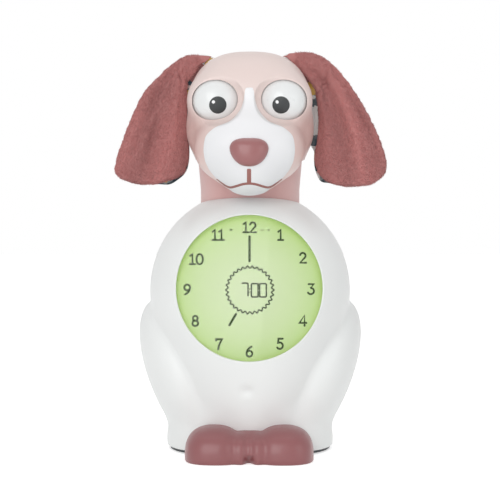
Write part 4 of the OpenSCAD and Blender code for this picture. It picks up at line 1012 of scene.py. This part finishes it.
r, bore, z = head["roomR"], head["boreR"], head["collarZ"]
neckRoom = [(0, 91), (r, 91), (r, z), (bore, z), (bore, z + 8), (0, z + 8)]
tools = [ball("sinkZone", sinkAt, sinkR, 192, 96),
         lathe("neckRoom", neckRoom, (0, 0, 1), (0, head["neckY"], 0))]
for side in (-1, 1):
    aside, up = head["socketShift"]
    tools.append(ball("eyeSocket", (side * (ex + aside), ey, ez + up),
                      head["eyeR"] + head["eyeGap"]))
    tools.append(prism("eyeWindow", eyeOutline(side), -60, ey - 2, facing))
carve(muzzle, [cavity] + tools, keep=True)
carve(skull, [cavity] + tools)


def maskOutline(grow):
    # smooth curve through the right side's points, with a rounded top, mirrored to the left
    right = np.array(maskEdge) + np.array([grow, 0])
    curve = curveThrough(right, np.linspace(0, len(right) - 1, 90))
    crown = [(w * curve[0, 0], curve[0, 1] + grow + h) for w, h in ((0.93, 0.35), (0.72, 0.62),
                                                                   (0.4, 0.72))]
    right = crown[::-1] + [tuple(p) for p in curve]
    return right + [(-u, v) for u, v in right[::-1]]


maskTool = prism("maskZone", maskOutline(0.0), -80, -20, facing)
maskPlug = prism("maskPlug", maskOutline(-0.02), -80, -20.1, facing)
nape = copyOf(skull, "headRear")
cutAtSeam(skull, nape, head)
carve(skull, [maskTool])
carve(muzzle, [maskPlug], "INTERSECT")
skull.name = skull.data.name = "faceShell"
dress(skull, finishes["pink"], "head", "pink_shell", "face_shell", soft=32)
dress(nape, finishes["pink"], "head", "pink_shell", "head_rear_shell", soft=32)
dress(muzzle, finishes["mask"], "head", "white_mask", "muzzle_mask", soft=32)


# nose and mouth

def smoothLoop(points, steps):
    # closed curve through the points
    t = np.linspace(0, len(points), steps, endpoint=False)
    return curveThrough([points[-1], *points, *points[:2]], t + 1)


def faceSurface(x, z, inset=0.0):
    # the head's skin straight behind (x, z), looked for from the front
    x, z = np.broadcast_arrays(np.asarray(x, float), np.asarray(z, float))
    return halve(lambda y: maskDistance(np.stack([x, y, z], -1)) > -inset,
                 np.full(x.shape, -75.0), np.full(x.shape, -20.0), 26)


nose = dict(at=(0, 172.2), rise=4.4, sunk=0.15, columns=96, rows=26,
            outline=[(0, 5.9), (5.2, 5.6), (8.8, 4.1), (10.6, 1.0), (9.9, -3.0), (7.4, -6.7),
                     (3.9, -9.0), (0, -9.6), (-3.9, -9.0), (-7.4, -6.7), (-9.9, -3.0),
                     (-10.6, 1.0), (-8.8, 4.1), (-5.2, 5.6)])
loop = smoothLoop(nose["outline"], nose["columns"])[::-1]
share = np.sin(np.linspace(np.pi / 2, 0.06, nose["rows"]))[:, None]
x = nose["at"][0] + share * loop[None, :, 0]
z = nose["at"][1] + share * loop[None, :, 1]
y = faceSurface(x, z) - nose["rise"] * (1 - share ** 2.6) ** 0.42 + nose["sunk"]
dome = np.stack([x, y, z], -1)
foot = dome[:1] + np.array([0, 1.2, 0])
tip = np.array([nose["at"][0], faceSurface(*nose["at"]) - nose["rise"] + nose["sunk"],
                nose["at"][1]])
nosePiece = facedOut(skin("nosePad", np.concatenate([foot, dome]), highPole=tip))
dress(nosePiece, finishes["rose"], "head", "rose_gloss", "nose", soft=60)

mouthSide = [(18.2, 155.9), (15.2, 153.6), (12.7, 151.9), (10.2, 151.2), (7.0, 151.9),
             (3.6, 152.9)]
mouthLine = [(-x, z) for x, z in mouthSide] + [(0, 153.3)] + mouthSide[::-1]


def paintedStroke(name, line, width, taper, thick=0.16):
    # a flat stroke laid on the face's skin: two rails along the line, and their copies a little in
    run = curveThrough(line, np.linspace(0, len(line) - 1, 12 * (len(line) - 1)))
    way = unit(np.gradient(run, axis=0))
    side = np.stack([-way[:, 1], way[:, 0]], 1)
    s = np.linspace(0, 1, len(run))
    half = width / 2 * np.clip(taper(s), 0.08, 1)
    across = np.linspace(-1, 1, 5)
    spots = run[:, None] + side[:, None] * (half[:, None] * across)[..., None]
    y = faceSurface(spots[..., 0], spots[..., 1])
    crown = thick * (1 - 0.55 * across ** 2)
    topSide = np.stack([spots[..., 0], y - crown, spots[..., 1]], -1)
    under = np.stack([spots[..., 0], y + 0.3, spots[..., 1]], -1)
    ringsAlong = np.concatenate([topSide, under[:, ::-1]], 1)
    return facedOut(skin(name, ringsAlong))


mouth = paintedStroke("mouthLine", mouthLine, 1.3,
                      lambda s: 0.35 + 0.75 * np.sin(np.pi * s) ** 0.8)
lip = paintedStroke("mouthStem", [(0, 161.3), (0, 158.6), (0, 155.8), (0, 153.2)], 2.3,
                    lambda s: np.clip(0.75 + 3 * s, 0, 1))
for piece in (mouth, lip):
    dress(piece, finishes["mouth"], "head", "rose_gloss", soft=60)

# a small white disc on each eye is a painted highlight, standing for the lamp's reflection
for side, u, v in ((-1, -20.0, 198.7), (1, 15.4, 198.7)):
    depth = math.sqrt(head["eyeR"] ** 2 - (u - side * ex) ** 2 - (v - ez) ** 2)
    normal = np.array([u - side * ex, -depth, v - ez]) / head["eyeR"]
    glint = lathe("eyeGlint" + ("Right" if side < 0 else "Left"),
                  [(0, -0.1), (0.92, -0.1), (0.9, 0.05), (0.6, 0.1), (0, 0.12)], normal,
                  np.array([side * ex, ey, ez]) + normal * (head["eyeR"] - 0.02),
                  unit(np.cross(normal, (0, 0, 1))), 32)
    dress(facedOut(glint), finishes["glint"], "eyes", "eye_white", soft=60)
print("head ready")


# ears

ear = dict(frontY=-0.4, backY=6.4, inset=0.7, voxel=1.6, heldZ=219, heldFade=6, frames=18,
           gravity=0.15, cap=2.5, fold=2.1, proud=0.7, rootY=-9, fibres=50000, fibreLength=1.35,
           fibreWidth=0.15, seed=7)
cloth = dict(quality=6, mass=0.2, tension_stiffness=18, compression_stiffness=18,
             shear_stiffness=6, bending_stiffness=0.6, use_pressure=True,
             uniform_pressure_force=3.0, vertex_group_mass="held")
earEdges = {
    -1: dict(inner=[(19.4, 226.3), (22.8, 224.7), (26.2, 222.4), (29.3, 219.3), (31.6, 215.9),
                    (34.6, 212.8), (35.9, 207.6), (36.1, 202.6), (36.0, 197.6), (35.7, 189.4),
                    (35.2, 180.0), (35.0, 170.5), (35.6, 164.6), (37.4, 159.8), (41.5, 156.7),
                    (50.2, 154.3), (57.0, 152.9)],
             outer=[(19.4, 226.3), (24.4, 228.7), (30.5, 229.2), (37.0, 228.2), (45.3, 223.2),
                    (53.6, 215.9), (61.9, 205.9), (67.2, 196.4), (71.4, 187.0), (75.0, 177.6),
                    (78.3, 168.1), (79.5, 161.5), (77.4, 157.4), (72.0, 155.0), (64.8, 153.4),
                    (57.0, 152.9)]),
    1: dict(inner=[(17.4, 226.8), (21.4, 224.6), (24.9, 221.4), (28.7, 218.0), (32.6, 214.0),
                   (36.1, 209.3), (37.7, 204.6), (38.6, 198.8), (39.2, 189.4), (38.5, 179.9),
                   (37.2, 172.0), (37.0, 166.0), (38.6, 160.2), (42.2, 155.7), (49.3, 153.0),
                   (58.0, 151.6)],
            outer=[(17.4, 226.8), (21.4, 229.4), (26.5, 230.4), (32.5, 230.4), (39.7, 228.4),
                   (47.9, 222.9), (55.0, 216.2), (61.4, 207.6), (66.9, 198.2), (71.7, 189.0),
                   (75.8, 179.9), (78.8, 170.5), (79.9, 163.6), (77.9, 157.6), (70.8, 153.4),
                   (58.0, 151.6)])}


def splineThrough(points, steps):
    # open curve through the points, even in arc length
    run = curveThrough(points, np.linspace(0, len(points) - 1, 600))
    length = np.concatenate([[0], np.cumsum(np.linalg.norm(np.diff(run, axis=0), axis=1))])
    s = np.linspace(0, length[-1], steps)
    return np.stack([np.interp(s, length, run[:, i]) for i in range(2)], 1)


# how far the lining shows past the plush: across on the inner edge, and down on the lower one
showing = {-1: dict(at=215.0, half=9.5, wide=4.0, low=(-46.0, 5.0, 1.3)),
           1: dict(at=199.0, half=28.0, wide=3.3, low=(-39.5, 4.0, 1.2))}


def earFlap(name, side, inset, frontY, backY, rows=70, columns=36, lining=False):
    # rows run from root to tip; the section is a flat pillow, thin at its edges
    inner = splineThrough(earEdges[side]["inner"], rows)
    outerEdge = splineThrough(earEdges[side]["outer"], rows)
    if lining:
        show = showing[side]
        bump = fade(np.abs(inner[:, 1] - show["at"]), show["half"], show["half"] - 6)
        inner[:, 0] -= inset + show["wide"] * smooth(bump) - 0.3
        spot, spread, drop = show["low"]
        for edge in (inner, outerEdge):
            edge[:, 1] -= (drop + inset) * np.exp(-((edge[:, 0] + spot) / spread) ** 2) \
                * (edge[:, 1] < 166)
    u = np.linspace(0, 1, rows)
    angle = fullTurn(2 * columns)
    across = np.cos(angle)
    flat = np.sign(across) * np.abs(across) ** 0.9
    pillow = np.sign(np.sin(angle)) * np.abs(np.sin(angle)) ** 0.7
    middle = (inner + outerEdge) / 2
    reach = (outerEdge - inner) / 2
    width = np.linalg.norm(reach, axis=1)
    grow = np.maximum(width - inset, 0.15) / np.maximum(width, 0.15)
    spots = middle[:, None] + reach[:, None] * (flat[None, :, None] * grow[:, None, None])
    ends = np.clip(np.minimum(u, 1 - u) * 9, 0, 1) ** 0.5
    thick = (backY - frontY) / 2 * ends * np.clip(width / 9, 0.3, 1)
    y = (frontY + backY) / 2 + thick[:, None] * pillow[None, :]
    if lining:  # the showing edge curls forward into the light
        y = y - 4.0 * np.clip((inner[:, None, 0] + 3.2 - spots[..., 0]) / 3.5, 0, 1) ** 2 \
            * np.clip(np.minimum(u, 1 - u) * 12, 0, 1)[:, None]
    points = np.stack([side * spots[1:-1, :, 0], y[1:-1], spots[1:-1, :, 1]], -1)
    tips = [np.array([side * middle[i, 0], (frontY + backY) / 2, middle[i, 1]]) for i in (0, -1)]
    return facedOut(skin(name, points, *tips))


def earLimits(side, z):
    # how far from the middle the ear begins and ends at each height
    limits = []
    for which in ("inner", "outer"):
        edge = splineThrough(earEdges[side][which], 200)
        edge = edge[edge[:, 1] < 226]
        order = np.argsort(edge[:, 1])
        limits.append(np.interp(z, edge[order, 1], edge[order, 0]))
    return limits


def keepOutline(points, side):
    # each level slice of the flap is drawn out across to the ear's own outline
    x, z = side * points[:, 0] / mm, points[:, 2] / mm
    level = np.clip(((z - 150) / 2).astype(int), 0, 39)
    low, high = np.full(40, 999.0), np.full(40, -999.0)
    np.minimum.at(low, level, x)
    np.maximum.at(high, level, x)
    used, height = high > low + 2, 151 + 2.0 * np.arange(40)
    low, high = (np.interp(z, height[used], a[used]) for a in (low, high))
    inner, outerEdge = earLimits(side, z)
    span = outerEdge - inner - 2 * ear["inset"]
    wanted = inner + ear["inset"] + (x - low) * span / np.maximum(high - low, 1)
    share = fade(z, 225, 221) * fade(z, 153, 156)
    points[:, 0] = side * (x + (wanted - x) * share) * mm


def inflate(piece, side):
    # voxel remesh, then a short pressure cloth run with the root held, capped in reach
    puffed = copyOf(piece, piece.name + "Cloth")
    remesh = puffed.modifiers.new("remesh", "REMESH")
    remesh.mode = "VOXEL"
    remesh.voxel_size = ear["voxel"] * mm
    settle(puffed)
    start = readPoints(puffed.data)
    held = puffed.vertex_groups.new(name="held")
    weights = np.clip((start[:, 2] - ear["heldZ"] * mm) / (ear["heldFade"] * mm), 0, 1)
    for index in np.nonzero(weights > 0)[0]:
        held.add([int(index)], float(weights[index]), "REPLACE")
    modifier = puffed.modifiers.new("cloth", "CLOTH")
    for key, value in cloth.items():
        setattr(modifier.settings, key, value)
    modifier.settings.effector_weights.gravity = ear["gravity"]
    modifier.collision_settings.use_collision = False
    modifier.point_cache.frame_start = 1
    modifier.point_cache.frame_end = ear["frames"]
    for step in range(1, ear["frames"] + 1):
        bpy.context.scene.frame_set(step)
        bpy.context.view_layer.update()
    settle(puffed)
    bpy.context.scene.frame_set(1)
    move = readPoints(puffed.data) - start
    reach = np.linalg.norm(move, axis=1)[:, None]
    move *= np.minimum(1, ear["cap"] * mm / np.maximum(reach, 1e-9))
    end = start + move
    for axis in range(3):  # back to the flap's own width, depth and height
        a0, a1 = start[:, axis].min(), start[:, axis].max()
        b0, b1 = end[:, axis].min(), end[:, axis].max()
        if axis == 1:
            a0, a1 = a0 - 0.2 * mm, a1 + 0.2 * mm
        end[:, axis] = a0 + (end[:, axis] - b0) * (a1 - a0) / (b1 - b0)
    keepOutline(end, side)
    writePoints(puffed.data, end)
    name = piece.name
    remove(piece)
    puffed.name = puffed.data.name = name
    return puffed


# folds across each ear: place at the tip, place near the root, width, height
folds = {-1: [(0.20, 0.24, 0.12, 0.9), (0.44, 0.72, 0.13, -1.1), (0.70, 0.50, 0.11, 0.5),
              (0.88, 0.95, 0.10, 0.8)],
         1: [(0.15, 0.10, 0.10, 0.6), (0.44, 0.31, 0.11, -1.1), (0.62, 0.58, 0.12, 0.9),
             (0.82, 0.86, 0.10, -1.0)]}


def creases(piece, side):
    # soft lengthwise folds; the root is drawn out over the head's corner where it would sink in
    p = readPoints(piece.data) / mm
    normal = readPoints(piece.data, "normal")
    inner, outerEdge = earLimits(side, p[:, 2])
    across = np.clip((np.abs(p[:, 0]) - inner) / np.maximum(outerEdge - inner, 4), 0, 1)
    up = fade(p[:, 2], 165, 215)
    wave = 0.12 * np.sin(across * 31 + up * 5 + side) + 0.1 * np.sin(p[:, 2] * 0.21 + across * 9)
    for low, high, wide, tall in folds[side]:
        wave += tall * np.exp(-((across - low - (high - low) * up) / wide) ** 2)
    ease = fade(p[:, 2], 224, 206) * fade(p[:, 2], 152, 168)
    ease *= fade(across, 0, 0.125) * fade(across, 1, 0.875)
    p += normal * (wave * ease * ear["fold"] * np.where(normal[:, 1] < 0, 1, 0.4))[:, None]
    near = (p[:, 1] < 3) & (p[:, 2] > 200)
    skinY = halve(lambda y: headDistance(np.stack([p[near, 0], y, p[near, 2]], -1)) > 0,
                  np.full(near.sum(), -30.0), np.full(near.sum(), 3.0), 16)
    p[near, 1] = np.minimum(p[near, 1], np.maximum(skinY - ear["proud"], ear["rootY"]))
    writePoints(piece.data, p * mm)


def pile(piece, name, finish, side):
    # short fibres: each is a slim bent blade rooted on the flap, leaning down and out
    random = np.random.default_rng(ear["seed"] + side)
    mesh = piece.data
    mesh.calc_loop_triangles()
    tris = np.empty(len(mesh.loop_triangles) * 3, int)
    mesh.loop_triangles.foreach_get("vertices", tris)
    tris = tris.reshape(-1, 3)
    p, n = readPoints(mesh), readPoints(mesh, "normal")
    a, b, c = p[tris[:, 0]], p[tris[:, 1]], p[tris[:, 2]]
    area = np.linalg.norm(np.cross(b - a, c - a), axis=1)
    tip = np.array([side * earEdges[side]["inner"][0][0], 3, earEdges[side]["inner"][0][1]]) * mm
    area *= np.linalg.norm(a - tip, axis=1) > 9 * mm
    pick = random.choice(len(tris), ear["fibres"], p=area / area.sum())
    u, v = random.random((2, ear["fibres"], 1))
    u, v = np.where(u + v > 1, 1 - u, u), np.where(u + v > 1, 1 - v, v)
    root = a[pick] + u * (b - a)[pick] + v * (c - a)[pick]
    out = n[tris[pick, 0]] * (1 - u - v) + n[tris[pick, 1]] * u + n[tris[pick, 2]] * v
    out = unit(out)
    lean = np.array([side * 0.25, 0, -1.0]) + random.normal(0, 0.3, (ear["fibres"], 3))
    lean -= out * (lean * out).sum(1)[:, None]
    way = unit(out * 0.5 + lean * 0.7)
    tipWay = unit(out * 0.15 + lean)
    across = unit(np.cross(way, random.normal(0, 1, way.shape)))
    length = ear["fibreLength"] * mm * random.uniform(0.55, 1.15, (ear["fibres"], 1))
    half = ear["fibreWidth"] * mm / 2
    root = root - out * 0.15 * mm
    mid = root + way * length * 0.55
    tip = mid + tipWay * length * 0.45
    points = np.stack([root - across * half, root + across * half, mid + across * half * 0.8,
                       mid - across * half * 0.8, tip], 1).reshape(-1, 3)
    base = np.arange(ear["fibres"])[:, None] * 5
    quads = base + np.array([0, 1, 2, 3])
    ends = base + np.array([3, 2, 4])
    fibres = pieceFrom(name, points / mm, quads.tolist() + ends.tolist())
    dress(fibres, finish, "head", "rose_plush")
    return fibres


# painted light and shade across each ear's folds, partly the nap: place in mm from the middle, and
# how light
foldShadeAcross = {-1: [(34, 0.1), (44, 0.95), (50, 0.6), (56, 0.05), (61, 0.1), (70, 0.85), (78, 0.4)],
             1: [(36, 0.55), (41, 0.6), (50, 0.1), (59, 1.0), (64, 0.6), (69, 0.1), (77, 0.5)]}


def plushFinish(name, side, brighten=1.0):
    # short pile: painted light and shade across the folds, partly the nap turning, as lit and
    # shaded tones of one colour; a fine speckle, a soft sheen
    f = Finish(name, Roughness=0.9, SheenWeight=0.3, SheenRoughness=0.5,
               SheenTint=(0.95, 0.78, 0.78, 1))
    x, z = f.axis("X"), f.axis("Z")
    cloud = f.noise(30, 3, 0.55, at=f.stretch(1.6, 1, 0.4))
    fine = f.noise(700, 3, 0.7)
    place = x * side + (z - 185 * mm) * 0.28 + (cloud - 0.5) * (14 * mm)
    foldShade = f.ramp(f.remap(place, 30 * mm, 80 * mm, 0, 1),
                 [((at - 30) / 50, (v, v, v)) for at, v in foldShadeAcross[side]])
    held = f.remap(z, 206 * mm, 220 * mm, 1, 0.25)
    light = f.mix(held, (0.5, 0.5, 0.5), foldShade)
    mixed = f.mix(f.remap(cloud, 0.36, 0.66, 0.15, 0.5), light, (0.5, 0.5, 0.5))
    colour = f.mix(mixed, shade(colours["plush"], 0.76 * brighten),
                   shade(colours["plush"], 1.24 * brighten))
    f.set(BaseColor=f.mix(f.remap(fine, 0.3, 0.75, 0, 0.4), colour, srgb(190, 144, 140)))
    return f.bump(fine, 0.2)


# bands of colour down the lining's inner edge, from 150 mm up to 230 mm
mustard, teal, pearl, slate, blush = (srgb(224, 176, 40), srgb(44, 72, 84), srgb(244, 245, 243),
                                      srgb(150, 160, 160), srgb(228, 204, 198))
bands = {-1: [(0.0, pearl), (0.02, teal), (0.10, pearl), (0.24, blush), (0.36, slate),
              (0.5, pearl), (0.62, mustard), (0.72, teal), (0.86, mustard), (0.95, pearl)],
         1: [(0.0, teal), (0.08, pearl), (0.14, teal), (0.2, mustard), (0.27, pearl),
             (0.31, teal), (0.4, pearl), (0.6, teal), (0.68, mustard), (0.79, blush),
             (0.84, teal), (0.92, pearl)]}


def printFinish(name, side):
    # loose patches of mustard, teal, grey, white and pink on a plain weave
    f = Finish(name, Roughness=0.85)
    jitter = f.noise(300, 2)
    cells = f.node("ShaderNodeTexVoronoi", {"feature": "F1"},
                   {"Vector": f.place, "Scale": 260, "Randomness": 1.0}, out="Color")
    palette = [(0.0, pearl), (0.2, mustard), (0.36, pearl), (0.5, teal), (0.64, slate),
               (0.78, blush), (0.88, teal)]
    patches = f.ramp(f.node("ShaderNodeSeparateColor", {}, {"Color": cells}), palette, steps=True)
    height = (f.axis("Z") - 150 * mm) / (80 * mm)
    strip = f.ramp(f.remap(height + 0.07 * f.noise(260, 2) - 0.035, 0, 1, 0, 1), bands[side],
                   steps=True)
    near = (f.remap(f.axis("X") * side, 40 * mm, 41 * mm, 1, 0)
            * f.remap(f.noise(240, 1), 0.6, 0.64, 1, 0))
    pattern = f.mix(near, patches, strip)
    f.set(BaseColor=f.mix(f.remap(jitter, 0.35, 0.7, 0, 0.22), pattern, srgb(238, 238, 236)))
    weave = f.node("ShaderNodeTexWave", {"wave_type": "BANDS", "bands_direction": "DIAGONAL"},
                   {"Vector": f.place, "Scale": 900.0, "Distortion": 1.0})
    return f.bump(weave, 0.06)


for side, label in ((-1, "Right"), (1, "Left")):
    flap = earFlap("earPlush" + label, side, ear["inset"], ear["frontY"], ear["backY"])
    flap = inflate(flap, side)
    subdivide = flap.modifiers.new("finer", "SUBSURF")
    subdivide.levels = subdivide.render_levels = 1
    settle(flap)
    creases(flap, side)
    dress(flap, plushFinish("rosePlush" + label, side), "head", "rose_plush", soft=75)
    pile(flap, "earPile" + label, plushFinish("rosePile" + label, side, 1.06), side)
    lining = earFlap("earLining" + label, side, 0.9, 5.0, 8.0, rows=90, columns=40, lining=True)
    dress(lining, printFinish("printedCotton" + label, side), "head", "print_cotton", soft=75)
    if side < 0:
        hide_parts("ear_plush")
        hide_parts("ear_lining")
print("ears ready")


# stage, light and camera

stage = dict(floor=srgb(250, 250, 250), glow=0.56, key=5.0, fill=1.4, rim=1.3, world=0.54)
floorFinish = Finish("paleFloor", Roughness=0.9, BaseColor=stage["floor"],
                     EmissionStrength=stage["glow"])
lit = floorFinish.seenBy("Camera", "Glossy", "Transmission")
floorFinish.set(EmissionColor=floorFinish.mix(lit, (0.0, 0.0, 0.0), (1.0, 1.0, 1.0)))
floorMesh = pieceFrom("floor", [(-2500, -2500, 0), (2500, -2500, 0), (2500, 2500, 0),
                                (-2500, 2500, 0)], [(0, 1, 2, 3)])
floorMesh.data.materials.append(floorFinish.material)

world = bpy.data.worlds.new("studio")
bpy.context.scene.world = world
sky = Nodes(world)
strength = sky.node("ShaderNodeMapRange", {}, {"Value": sky.seenBy("Camera", "Glossy"),
                                               "To Min": stage["world"], "To Max": 1.0})
background = sky.tree.nodes["Background"]
sky.feed(background.inputs["Strength"], strength)
sky.feed(background.inputs["Color"], (1, 1, 1))


def softbox(name, at, target, size, power):
    light = bpy.data.lights.new(name, "AREA")
    light.shape = "RECTANGLE"
    light.size, light.size_y = size
    light.energy = power
    box = bpy.data.objects.new(name, light)
    box.location = at
    box.rotation_euler = (Vector(target) - Vector(at)).to_track_quat("-Z", "Y").to_euler()
    bpy.context.scene.collection.objects.link(box)


softbox("keyLight", (-0.35, -1.05, 0.45), (0, 0, 0.1), (0.8, 0.8), stage["key"])
softbox("fillLight", (0.9, -0.7, 0.35), (0, 0, 0.12), (0.7, 0.7), stage["fill"])
softbox("topLight", (0, 0.1, 1.1), (0, 0, 0.1), (0.9, 0.9), stage["rim"])

camera = bpy.data.cameras.new("camera")
camera.lens = 105.5
camera.sensor_width = 36
view = bpy.data.objects.new("camera", camera)
view.location = (0.009, -0.85, 0.15)
view.rotation_euler = (math.radians(90 - 2.36), 0, math.radians(0.607))
bpy.context.scene.collection.objects.link(view)
bpy.context.scene.camera = view
bpy.context.scene.view_settings.view_transform = "Standard"
print("stage ready")
